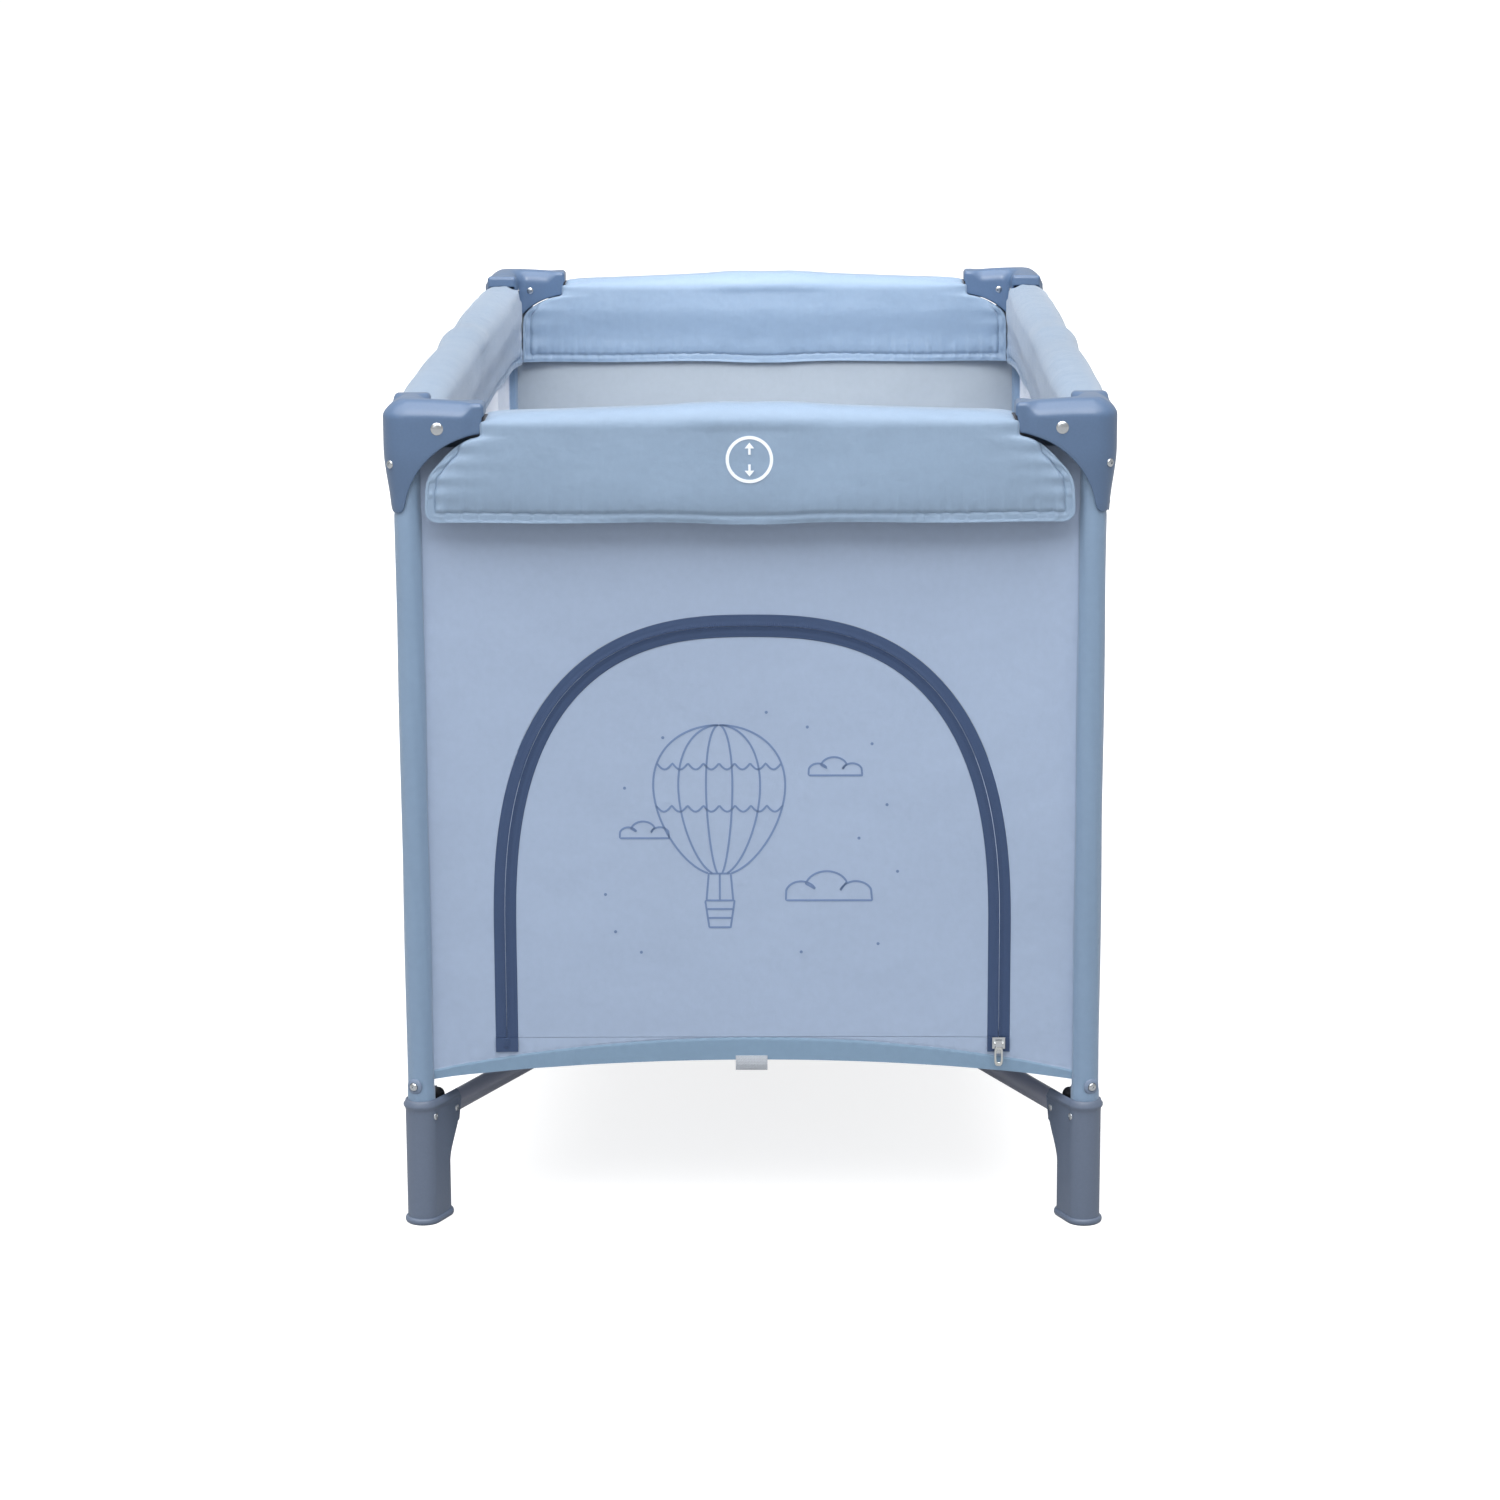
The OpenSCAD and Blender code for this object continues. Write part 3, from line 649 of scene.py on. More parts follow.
tube_paint = mix_moulding("tube_paint", (140, 143, 157), roughness=0.38, coat=0.1)
# The rails' coat is darker than the base tubes' own. It is partly the frame's coat and partly painted shade
# for the gaps between covers and caps where the rails show.
rail_coat_and_gap_shade = mix_moulding("rail_coat_and_gap_shade", (58, 62, 72), roughness=0.45)
dark_plastic = mix_moulding("dark_plastic", (70, 78, 94), roughness=0.45)
button_plastic = mix_moulding("button_plastic", (152, 164, 184), roughness=0.4)
finish_nodes(["post_" + corner for corner in corners], rail_coat_and_gap_shade)
finish_nodes([n for n in nodes if n.startswith("rail_")], rail_coat_and_gap_shade)
finish_nodes([n for n in nodes if n.startswith("base_tube_")], tube_paint)
finish_nodes([n for n in nodes if n.startswith("lock_case_")] + ["hub_body", "hub_cover"], dark_plastic)
finish_nodes([n for n in nodes if n.startswith("lock_button_")], button_plastic)
finish_nodes(["hub_pins"], plated_steel)
strap_webbing = mix_cloth("strap_webbing", (120, 60, 62), count=600.0, relief=0.0003)
finish_nodes(["pull_strap"], strap_webbing)


# End walls: one width of satin polyester between each pair of sleeves. The front one has the arched door
# cut out of it. Both hollow in slightly between the posts and end in a turned, stitched hem that arches.
def make_shell(name, outer, inner, stuff, cut, crease=50):
    """A closed piece of cloth: a grid for each face, and a strip that joins their edges all round."""
    rows, columns = outer.shape[:2]
    number = np.arange(rows * columns).reshape(rows, columns)
    face = grid_quads(rows, columns)
    edge = np.concatenate([number[0], number[1:, -1], number[-1, -2::-1], number[-2:0:-1, 0]])
    after = np.roll(edge, -1)
    total = rows * columns
    rim = np.stack([edge, after, after + total, edge + total], axis=-1)
    quads = np.concatenate([face, face[:, ::-1] + total, rim])
    points = np.concatenate([outer.reshape(-1, 3), inner.reshape(-1, 3)])
    cuts = np.tile(cut.reshape(-1, 2), (2, 1))
    return make_piece(name, points, quads, stuff, crease, cuts)


wall_cloth = mix_cloth("wall_cloth", (156, 173, 199), crease=0.0009)
hem_cloth = mix_cloth("hem_cloth", (121, 148, 174), crease=0.0006)
wall_y = -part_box("wall_front")[0][1]
wall_stand = 0.004
cloth_thick = 0.0010
hem_middle, hem_corner = 0.157, 0.140
hinge_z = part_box("door_cloth")[0][2] - 0.0003
wall_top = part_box("wall_front")[1][2]
seam_overlap = 0.0015
seam_x = post_x - sleeve_round + seam_overlap


def wall_hollow(x, z):
    """How far the wall stands in from its seams: 7 mm * (1 - exp(-d / 40 mm)) at distance d from the
    nearer seam, with long shallow drag folds by the seams, low down and near the rail, and a slow wave
    over the whole width."""
    d = np.clip(seam_x - np.abs(x), 0, None)
    hollow = 0.007 * (1 - np.exp(-d / 0.040))
    fade = np.exp(-d / 0.10)
    fan = np.sin(95 * x + 20 * z) * bell(z - 0.18, 0.14) * fade
    top = np.sin(60 * x - 14 * z + 1.0) * bell(z - 0.70, 0.12) * fade
    broad = 0.0012 * np.sin(9 * x + 3 * z) * np.sin(7 * z + 0.5) * (1 - np.exp(-d / 0.08))
    return hollow + 0.0007 * fan + 0.0006 * top + broad


def hem_edge(x):
    """Height of the hem's lower edge: a flat parabola from the middle to the corners."""
    return hem_middle - (hem_middle - hem_corner) * (x / seam_x) ** 2


def stitch_line(x):
    """Height of the hem's stitches: 21.5 mm over the edge in the middle, easing to 8.5 mm at the seams."""
    return hem_edge(x) + 0.0085 + 0.0130 * (1 - (x / seam_x) ** 2)


def stand_front(x, z, proud=0.0):
    """Points on the front wall's outer face, proud of it by a distance."""
    return np.stack([x, -(wall_y + wall_stand) + wall_hollow(x, z) - proud, z], axis=-1)


arch_half = 0.242
arch_exponent = 2.6
arch_top = pen_top - 0.201
arch_spring = hinge_z + (arch_top - hinge_z) * 0.24


def even_steps(line, count=None):
    """The same line with its points spread evenly by length."""
    run = np.concatenate([[0], np.cumsum(np.linalg.norm(np.diff(line, axis=0), axis=1))])
    at = np.linspace(0, run[-1], count or len(line))
    return np.stack([np.interp(at, run, line[:, 0]), np.interp(at, run, line[:, 1])], axis=-1)


def squared_round(angle, power):
    """A circle pulled towards its square: cosine and sine keep their signs and take a power."""
    cos, sin = np.cos(angle), np.sin(angle)
    return np.sign(cos) * np.abs(cos) ** power, np.sign(sin) * np.abs(sin) ** power


def arch_line(inset, foot):
    """The arch from its right foot over the top to its left foot, set in by a distance: straight legs,
    then |x/a|^e + |z/b|^e = 1 with a the half width, b the rise and e the arch's exponent."""
    half, rise = arch_half - inset, arch_top - arch_spring - inset
    across, up = squared_round(np.linspace(0, math.pi, 260), 2 / arch_exponent)
    leg = np.linspace(foot, arch_spring, 60)[:-1]
    x = np.concatenate([np.full(leg.size, half), half * across, np.full(leg.size, -half)])
    z = np.concatenate([leg, arch_spring + rise * up, leg[::-1]])
    return even_steps(np.stack([x, z], axis=-1))


def front_wall_skin():
    """Straight threads from each point of the arch out to the seams and the rail, in 40 steps. The arch
    takes a third of its length for each seam and a third for the rail."""
    arch = arch_line(0.0, hinge_z)
    run = np.concatenate([[0], np.cumsum(np.linalg.norm(np.diff(arch, axis=0), axis=1))])
    share = run / run[-1]
    side = np.array([0.0, 0.33, 0.67, 1.0])
    border_x = np.interp(share, side, [seam_x, seam_x, -seam_x, -seam_x])
    border_z = np.interp(share, side, [hinge_z, wall_top, wall_top, hinge_z])
    step = np.linspace(0, 1, 40)[None, :]
    x = arch[:, :1] * (1 - step) + border_x[:, None] * step
    z = arch[:, 1:] * (1 - step) + border_z[:, None] * step
    return x, z


def hem_skin():
    """Rows from the hem's lower edge up to its stitches, 0.7 mm proud, and on to the hinge line. The
    stitches sink 0.8 mm and gather the cloth every 13.5 mm or so."""
    x = np.linspace(-seam_x, seam_x, 240)[None, :]
    share = np.linspace(0, 1, 16)[:, None]
    low, stitch = hem_edge(x), stitch_line(x)
    above = np.linspace(0, 1, 13)[1:, None]
    z = np.concatenate([low + (stitch - low) * share, stitch + (hinge_z - stitch) * above])
    band = fade_above(z, stitch + 0.0003, 0.0004)
    gathers = np.sin(x * 2 * math.pi / 0.0135 + 3 * np.sin(x * 31))
    pucker = 0.0004 * gathers * np.exp(-np.abs(z - stitch) / 0.006)
    return x + 0 * z, z, 0.0007 * band + pucker - 0.0008 * bell(z - stitch, 0.0009)


def sew_wall(name, x, z, proud, stuff, end):
    """A wall's cloth at the front (end -1) or back (end 1), with both its faces."""
    outer = stand_front(x, z, proud)
    inner = outer + np.array([0, cloth_thick, 0])
    turned = np.array([1.0, -end, 1.0])
    return make_shell(name, outer * turned, inner * turned, stuff, cut=np.stack([x, z], axis=-1))


def sew_hem(name, x, z, proud, end):
    """A hem: the darker binding below the stitches, the wall's own cloth above them."""
    hem = sew_wall(name, x, z, proud, hem_cloth, end)
    hem.data.materials.append(wall_cloth)
    centres = np.empty(len(hem.data.polygons) * 3, np.float32)
    hem.data.polygons.foreach_get("center", centres)
    centres = centres.reshape(-1, 3)
    over = centres[:, 2] > stitch_line(centres[:, 0]) + 0.0002
    hem.data.polygons.foreach_set("material_index", over.astype(np.int32))
    return hem


def hang_on_end(piece, body):
    """Hangs a piece of cloth on a body of the frame and gives it a mesh of its own."""
    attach(piece, body)
    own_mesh(piece)


x, z = front_wall_skin()
front_wall = sew_wall("front_wall", x, z, 0.0, wall_cloth, -1)
x, z, proud = hem_skin()
front_hem = sew_hem("front_hem", x, z, proud, -1)
back_x, back_z = np.meshgrid(np.linspace(-seam_x, seam_x, 160), np.linspace(hinge_z, wall_top, 120))
# The back wall has a colour of its own, tuned to its look from inside the pen. It is painted light that
# stands in for light shining through the cloth from behind.
back_wall_painted_light = mix_cloth("back_wall_painted_light", (158, 168, 178), crease=0.0008)
back_wall = sew_wall("back_wall", back_x, back_z, 0.0, back_wall_painted_light, 1)
back_hem = sew_hem("back_hem", x, z, proud, 1)
for place, pieces in (("front", (front_wall, front_hem)), ("back", (back_wall, back_hem))):
    for piece in pieces:
        hang_on_end(piece, "post_" + place + "_left")
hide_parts("wall_front")
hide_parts("wall_back")


# Door: the cloth inside the arch, cut from the same satin. It hangs from the hem and drops outward when
# the zip is undone.
def door_skin(inset):
    """Level rows from the hinge line to the arch's top, each as wide as the arch at its height."""
    share = 1 - (1 - np.linspace(0, 1, 150)) ** 1.6
    top = arch_top - inset
    z = hinge_z + 0.0004 + (top - hinge_z - 0.0004) * share[:, None]
    crown = np.clip((z - arch_spring) / (top - arch_spring), 0, 1)
    half = (arch_half - inset) * (1 - crown**arch_exponent) ** (1 / arch_exponent)
    x = half * np.sin(np.linspace(-0.5, 0.5, 140) * math.pi)[None, :]
    return x, z + 0 * x


door_inset = 0.0205
door_x, door_z = door_skin(door_inset)
door = sew_wall("door", door_x, door_z, 0.0, wall_cloth, -1)
hang_on_end(door, "door")
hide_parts("door_cloth")


# Zip: two dark tapes with a moulded coil between them, stitched down along both edges. The outer tape is
# sewn to the wall and the inner one to the door, so the coil parts down its middle. Their feet end on
# the hem in two short tape ends.
tape_cloth = mix_cloth("tape_cloth", (48, 70, 107), count=900.0, relief=0.0002, roughness=0.6, sheen=0.1)
zip_half = 0.0105
tape_thick = 0.0009
tape_foot = 0.1655
tooth_pitch = 0.0019
coil_half, coil_high = 0.0028, 0.0015
coil_foot = 0.169


def coil_rise(s, run, phase=0.0):
    """The coil's ridge at s across and run along: sqrt(1 - (s / half width)^2) high, notched by the
    teeth between 44 and 100 hundredths of its height."""
    ridge = np.sqrt(np.clip(1 - (s / coil_half) ** 2, 0, 1))
    return coil_high * ridge * (0.72 + 0.28 * np.cos(2 * math.pi * run / tooth_pitch + phase))


def zip_skin(first, last, foot, teeth_phase):
    """Carries the tape's section along the arch: across it by s from first to last, proud of the wall by
    the tape's thickness, which falls to a third at its edge, with a stitched groove 1.8 mm from the edge
    and the coil's ridge at the middle."""
    line = arch_line(zip_half, foot)
    length = np.linalg.norm(np.diff(line, axis=0), axis=1).sum()
    line = even_steps(line, int(length / tooth_pitch * 5))
    along = np.gradient(line, axis=0)
    along = along / np.linalg.norm(along, axis=1)[:, None]
    out = np.stack([along[:, 1], -along[:, 0]], axis=-1)
    across = np.array([0.0, 0.05, 0.12, 0.16, 0.20, 0.35, 0.55, 0.72, 0.78, 0.85, 0.92, 1.0])
    s = (first + (last - first) * across)[None, :]
    place = line[:, None, :] + out[:, None, :] * s[..., None]
    run = np.linspace(0, length, len(line))[:, None]
    groove = 0.0004 * bell(np.abs(s) - zip_half + 0.0018, 0.0007)
    edge = np.clip((zip_half - np.abs(s)) / 0.0006, 0, 1)
    proud = tape_thick * (0.35 + 0.65 * edge) - groove + coil_rise(s, run, teeth_phase)
    points = stand_front(place[..., 0], place[..., 1], proud)
    back = stand_front(place[..., 0], place[..., 1], -0.0002)
    cut = np.stack([run + 0 * s, s + 0 * run], axis=-1)
    return points, back, cut


for name, first, last, body, phase in (
    ("outer_tape", 0.0002, zip_half, "post_front_left", 0.0),
    ("inner_tape", -0.0002, -zip_half, "door", math.pi),
):
    points, back, cut = zip_skin(first, last, hinge_z + 0.0006, phase)
    tape = make_shell(name, points, back, tape_cloth, crease=80, cut=cut)
    hang_on_end(tape, body)
    if first > 0:
        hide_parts("zip_tapes")

tape_ends = []
for side in (-1, 1):
    s, z = np.meshgrid(np.linspace(-zip_half, zip_half, 15), np.linspace(tape_foot, hinge_z + 0.0004, 20))
    x = side * (arch_half - zip_half) + s
    points = stand_front(x, z, 0.0016 + coil_rise(s, z) * ease((z - coil_foot) / 0.002))
    back = stand_front(x, z, 0.0003)
    tape_ends.append(make_shell("end", points, back, tape_cloth, cut=np.stack([x, z], axis=-1)))
tape_end = join_pieces("tape_ends", tape_ends)
hang_on_end(tape_end, "post_front_left")


# Slider, pull tab and stop: small plated castings on the zip's right leg. The slider keeps the frame's own
# shape; the pull is rebuilt with rounded ears and a long slot, and the stop is crimped over the tape.
slider_low, slider_high = (np.array(v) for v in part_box("zip_slider"))
pull_low, pull_high = (np.array(v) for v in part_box("zip_pull"))
finish_nodes(["zip_slider", "zip_stop"], plated_steel)
zip_metal = mix_moulding("zip_metal", (206, 208, 206), roughness=0.26, metal=1.0, high=1.02)
pull_x = (pull_low[0] + pull_high[0]) / 2
pull_half = 0.0042
pull_pin_z = (slider_low[2] + slider_high[2]) / 2


def pull_skin(count=72):
    """A flat ring in the plane of the tab: the outline and the hole are both superellipses of exponent
    3.4, joined by a section with rounded edges."""
    square = np.stack(squared_round(np.linspace(0, 2 * math.pi, count, endpoint=False), 2 / 3.4), axis=-1)
    top, low = slider_low[2] + 0.0030, pull_low[2]
    outer = square * np.array([pull_half, (top - low) / 2])
    hole = square * np.array([0.0020, (top - low) / 2 - 0.0038])
    turn = np.linspace(0, 2 * math.pi, 13)[:-1]
    turn = np.append(turn, turn[0])[:, None]
    share = 0.5 + 0.5 * np.cos(turn)
    x = pull_x + hole[:, 0] * (1 - share) + outer[:, 0] * share
    z = (top + low) / 2 + hole[:, 1] * (1 - share) + outer[:, 1] * share
    y = pull_low[1] + 0.0008 + 0.0007 * np.sin(turn) + 0 * x
    return np.stack([x, y, z], axis=-1)


pull_bar = [(0, 0.0084), (0.0009, 0.0084), (0.0011, 0.0080), (0.0011, 0.0004), (0.0009, 0), (0, 0)]
pull_ear = [(0, 0.0010), (0.0013, 0.0010), (0.0013, 0), (0, 0)]
pull_parts = [make_skin("pull_tab", pull_skin(), zip_metal, wrap=True, crease=80)]
for profile, offset in ((pull_bar, -pull_half), (pull_ear, -pull_half), (pull_ear, pull_half - 0.0010)):
    at = (pull_x + offset, pull_low[1] + 0.0012, pull_pin_z)
    turned = turn_about(np.array(profile), at, (1, 0, 0))
    pull_parts.append(make_skin("pull_part", turned, zip_metal, wrap=True))
pull = join_pieces("pull_tab", pull_parts)
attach(pull, "zip_pull")
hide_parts("zip_pull")


# Hem tab: a short loop of pale webbing folded over and stitched under the door. It bows out in the
# middle and sinks along a stitch line near each end.
tab_tape = mix_cloth("tab_tape", (176, 182, 191), count=700.0, relief=0.0003, roughness=0.55)
tab_low, tab_high = (np.array(v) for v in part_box("hem_tab"))
tab_u, tab_v = np.meshgrid(np.linspace(-1, 1, 40), np.linspace(0, 1, 24))
tab_x = (tab_low[0] + tab_high[0]) / 2 + tab_u * (tab_high[0] - tab_low[0]) / 2
tab_z = tab_low[2] - 0.001 + tab_v * (tab_high[2] - tab_low[2])
tab_bow = 0.0016 * np.sin(math.pi * tab_v) * (1 - 0.3 * tab_u**2) + 0.0006
tab_bow = tab_bow - 0.0005 * bell((1 - np.abs(tab_u)) / 0.12 - 1, 1 / math.sqrt(6))
tab_outer = stand_front(tab_x, tab_z, tab_bow + 0.0007)
tab_inner = stand_front(tab_x, tab_z, tab_bow - 0.0002)
hem_loop = make_shell("hem_loop", tab_outer, tab_inner, tab_tape, cut=np.stack([tab_x, tab_z], axis=-1))
hang_on_end(hem_loop, "post_front_left")
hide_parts("hem_tab")


# Print on the door: a hot-air balloon between three small clouds, with scattered dots, screened in slate
# ink. Each line is a thin ribbon of ink that lies on the cloth.
ink = mix_moulding("ink", (104, 126, 164), roughness=0.55)


def ink_line(points, width=0.0018, closed=False):
    """A ribbon along points (x, z) on the door: each point moves half the width to either side of the
    line's own direction, and the ends are drawn in to a round point."""
    line = np.array(points, float)
    if closed:
        line = np.concatenate([line, line[:1]])
    length = np.linalg.norm(np.diff(line, axis=0), axis=1).sum()
    line = even_steps(line, max(8, int(length / 0.0012)))
    along = np.gradient(line, axis=0)
    if closed:
        along[0] = along[-1] = line[1] - line[-2]
    along = along / np.linalg.norm(along, axis=1)[:, None]
    side = np.stack([-along[:, 1], along[:, 0]], axis=-1)
    run = np.linspace(0, length, len(line))
    tip = np.minimum(run, length - run) / (width / 2)
    half = np.full(len(line), width / 2)
    if not closed:
        half = half * np.sqrt(np.clip(1 - (1 - np.clip(tip, 0, 1)) ** 2, 0.05, 1))
    across = np.linspace(-1, 1, 3)[None, :, None]
    place = line[:, None, :] + across * half[:, None, None] * side[:, None, :]
    outer = stand_front(place[..., 0], place[..., 1], 0.00028)
    inner = stand_front(place[..., 0], place[..., 1], 0.00002)
    return make_shell("ink", outer, inner, ink, cut=place)


def curve(make, count=60):
    """Points of a plane curve whose x and z come from a share that runs from 0 to 1."""
    share = np.linspace(0, 1, count)
    x, z = make(share)
    return np.stack([x + 0 * share, z + 0 * share], axis=-1)


balloon_x, balloon_top, balloon_mouth = -0.030, 0.480, 0.338
balloon_round = 0.060
balloon_turn = 0.93 * math.pi


def balloon_side(share, bulge):
    """The envelope's side at a bulge from -1 to 1, by turn t: sin(t) * (1 + 0.22 cos(t)) wide, and down
    as 1 - cos(t), so it is round above and drawn in to the mouth below."""
    turn = share * balloon_turn
    down = (1 - np.cos(turn)) / (1 - math.cos(balloon_turn))
    x = balloon_x + bulge * balloon_round * np.sin(turn) * (1 + 0.22 * np.cos(turn))
    return x, balloon_top - (balloon_top - balloon_mouth) * down


def scallops(height, count):
    """A swag of half rounds across the envelope at a height down its side."""
    x_right, z_at = balloon_side(height, 1)

    def swag(share):
        x = balloon_x + (x_right - balloon_x) * (2 * share - 1)
        return x, z_at - 0.006 * np.abs(np.sin(math.pi * count * share))

    return curve(swag, count=120)


mouth_half = balloon_side(1.0, 1)[0] - balloon_x
basket_top, basket_low, basket_half = 0.312, 0.286, 0.0125
drawing = [curve(lambda t, b=bulge: balloon_side(t, b)) for bulge in (-1, -0.62, -0.2, 0.2, 0.62, 1)]
drawing += [scallops(0.36, 8), scallops(0.56, 8)]
drawing.append([(balloon_x - mouth_half, balloon_mouth), (balloon_x + mouth_half, balloon_mouth)])
for side in (-1, 1, 0):
    rope_top = (balloon_x + side * mouth_half, balloon_mouth)
    drawing.append([rope_top, (balloon_x + side * basket_half, basket_top)])
basket = np.array([(-1.1, 1), (1.1, 1), (0.8, 0), (-0.8, 0), (-1.1, 1)])
basket_size = np.array([basket_half, basket_top - basket_low])
drawing.append(np.array([balloon_x, basket_low]) + basket * basket_size)
for level in (0.35, 0.68):
    z = basket_low + level * (basket_top - basket_low)
    half = basket_half * (0.8 + 0.3 * level)
    drawing.append([(balloon_x - half, z), (balloon_x + half, z)])


def cloud(x, z, size):
    """A cloud's edge: a flat foot and three half rounds over it."""
    lobes = [(-0.62, 0.30, 0.34), (-0.05, 0.52, 0.48), (0.60, 0.28, 0.36)]
    edge = [np.array([(x - 0.96 * size, z)])]
    for across, up, wide in lobes:
        angle = np.linspace(0.92, 0.12, 26) * math.pi
        lobe_x = x + (across + wide * np.cos(angle)) * size
        lobe_z = z + (up * 0.55 + wide * 0.8 * np.sin(angle)) * size
        edge.append(np.stack([lobe_x, lobe_z], axis=-1))
    edge.append(np.array([(x + 0.96 * size, z), (x - 0.96 * size, z)]))
    return np.concatenate(edge)


drawing += [cloud(0.072, 0.312, 0.042), cloud(-0.100, 0.372, 0.024), cloud(0.078, 0.432, 0.026)]
dots = [
    (-0.137, 0.318), (-0.128, 0.282), (-0.118, 0.420), (-0.082, 0.468), (-0.104, 0.262), (0.014, 0.492),
    (0.052, 0.478), (0.112, 0.462), (0.126, 0.404), (0.100, 0.372), (0.136, 0.340), (0.046, 0.262),
    (0.118, 0.270),
]
inked = [ink_line(points) for points in drawing]
angle = np.linspace(0, 2 * math.pi, 13)[:-1]
for dot in dots:
    round_dot = np.array(dot) + 0.0006 * np.stack([np.cos(angle), np.sin(angle)], axis=-1)
    inked.append(ink_line(round_dot, closed=True))
print_on_door = join_pieces("door_print", inked)
hang_on_end(print_on_door, "door")


# Side walls: a panel of open knitted mesh between bands of the satin, sewn to the posts' sleeves and
# hung from the rails. The mesh lets light through its eyelets.
def mix_mesh():
    """Knitted mesh: rows of small eyelets, every other row moved half a step; where the distance from
    the nearest eyelet's middle is under its radius the net is open."""
    net = bpy.data.materials.new("mesh_net")
    net.use_nodes = True
    tree = net.node_tree
    shader = tree.nodes["Principled BSDF"]
    where = tree.nodes.new("ShaderNodeTexCoord")
    apart = tree.nodes.new("ShaderNodeSeparateXYZ")
    tree.links.new(where.outputs["UV"], apart.inputs[0])
    pitch = 0.0030
    eyelet = 1 / 3
    row = work_out(tree, "MULTIPLY", apart.outputs[1], 1 / pitch)
    odd = work_out(tree, "FLOORED_MODULO", work_out(tree, "FLOOR", row), 2.0)
    shift = work_out(tree, "MULTIPLY", odd, 0.5)
    column = work_out(tree, "ADD", work_out(tree, "MULTIPLY", apart.outputs[0], 1 / pitch), shift)
    from_middle = [work_out(tree, "SUBTRACT", work_out(tree, "FRACT", way), 0.5) for way in (column, row)]
    squares = [work_out(tree, "MULTIPLY", way, way) for way in from_middle]
    far = work_out(tree, "SQRT", work_out(tree, "ADD", squares[0], squares[1]))
    tree.links.new(work_out(tree, "GREATER_THAN", far, eyelet), shader.inputs["Alpha"])
    slow = place_effect(tree, mottle, where.outputs["Object"], Scale=5.0, Low=0.97, High=1.03)
    tree.links.new(shade_colour(tree, (222, 228, 240), slow), shader.inputs["Base Color"])
    bump = tree.nodes.new("ShaderNodeBump")
    bump.inputs["Distance"].default_value = 0.0003
    tree.links.new(work_out(tree, "SUBTRACT", 1.0, far), bump.inputs["Height"])
    tree.links.new(bump.outputs[0], shader.inputs["Normal"])
    shader.inputs["Roughness"].default_value = 0.6
    shader.inputs["Sheen Weight"].default_value = 0.3
    return net


mesh_net = mix_mesh()
side_wall_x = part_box("mesh_right")[1][0]
seam_y = post_y - sleeve_round + seam_overlap
net_low, net_high, net_half = 0.212, 0.690, seam_y - 0.030
net_lap = 0.004


def stand_side(side, y, z, proud=0.0):
    """Points on a side wall's outer face, which hollows in 5 mm between its seams, proud of it."""
    hollow = 0.005 * (1 - np.exp(-np.clip(seam_y - np.abs(y), 0, None) / 0.05))
    hollow = hollow + 0.0010 * np.sin(11 * y + 2 * z) * np.sin(8 * z)
    return np.stack([side * (side_wall_x + 0.002 - hollow + proud), y, z], axis=-1)


def band_ring():
    """The satin round the net: straight threads from the net's edge out to the wall's edge, whose foot
    arches like the end walls' hems."""
    turns = np.array([(-1, 0), (1, 0), (1, 1), (-1, 1), (-1, 0)], float)
    share = np.linspace(0, 1, 60)[:-1, None]
    sides = [turns[k] + (turns[k + 1] - turns[k]) * share for k in range(4)]
    loop = np.concatenate(sides + [turns[:1]])
    inner_y, inner_z = loop[:, 0] * net_half, net_low + loop[:, 1] * (net_high - net_low)
    outer_y = loop[:, 0] * seam_y
    foot = hem_middle - (hem_middle - hem_corner) * (outer_y / seam_y) ** 2
    outer_z = foot + loop[:, 1] * (wall_top - foot)
    step = np.linspace(0, 1, 16)[None, :]
    y = inner_y[:, None] * (1 - step) + outer_y[:, None] * step
    z = inner_z[:, None] * (1 - step) + outer_z[:, None] * step
    return y, z


for name, side, body in (("left", -1, "post_front_left"), ("right", 1, "post_front_right")):
    across = np.linspace(-net_half - net_lap, net_half + net_lap, 120)
    y, z = np.meshgrid(across, np.linspace(net_low - net_lap, net_high + net_lap, 60))
    net = make_shell(
        "net_" + name,
        stand_side(side, y, z, -0.0008),
        stand_side(side, y, z, -0.0012),
        mesh_net,
        cut=np.stack([y, z], axis=-1),
    )
    y, z = band_ring()
    bands = make_shell(
        "bands_" + name,
        stand_side(side, y, z),
        stand_side(side, y, z, -0.0020),
        wall_cloth,
        cut=np.stack([y, z], axis=-1),
    )
    for piece in (net, bands):
        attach(piece, body)
        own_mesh(piece)
    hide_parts("mesh_" + name)


# Floor and mattress: a sheet of the satin stretched between the posts over the four base tubes, cut in
# quarters so that each goes with its tube, and a thin mattress that lies on it, with a welt round its
# edge and quilted cross channels.
floor_cloth = mix_cloth("floor_cloth", (176, 188, 208))
floor_z = (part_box("floor_cloth")[0][2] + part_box("floor_cloth")[1][2]) / 2
floor_gap = 0.016
floor_half_thick = 0.0006
for key, (sx, sy) in (("fl", (-1, -1)), ("fr", (1, -1)), ("bl", (-1, 1)), ("br", (1, 1))):
    u, v = np.meshgrid(np.linspace(0, 1, 40), np.linspace(0, 1, 60))
    x, y = sx * u * (post_x - floor_gap), sy * v * (post_y - floor_gap)
    sag = 0.0008 * np.sin(23 * x) * np.sin(17 * y)
    quarter = make_shell(
        "floor_quarter_" + key,
        np.stack([x, y, floor_z + floor_half_thick + sag], axis=-1),
        np.stack([x, y, floor_z - floor_half_thick + sag], axis=-1),
        floor_cloth,
        cut=np.stack([x, y], axis=-1),
    )
    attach(quarter, "base_tube_" + key)
    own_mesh(quarter)
    if key == "fl":
        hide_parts("floor_cloth")

mattress_cloth = mix_cloth("mattress_cloth", (184, 197, 218), crease=0.0010)
mattress_low, mattress_high = (np.array(v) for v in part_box("mattress"))


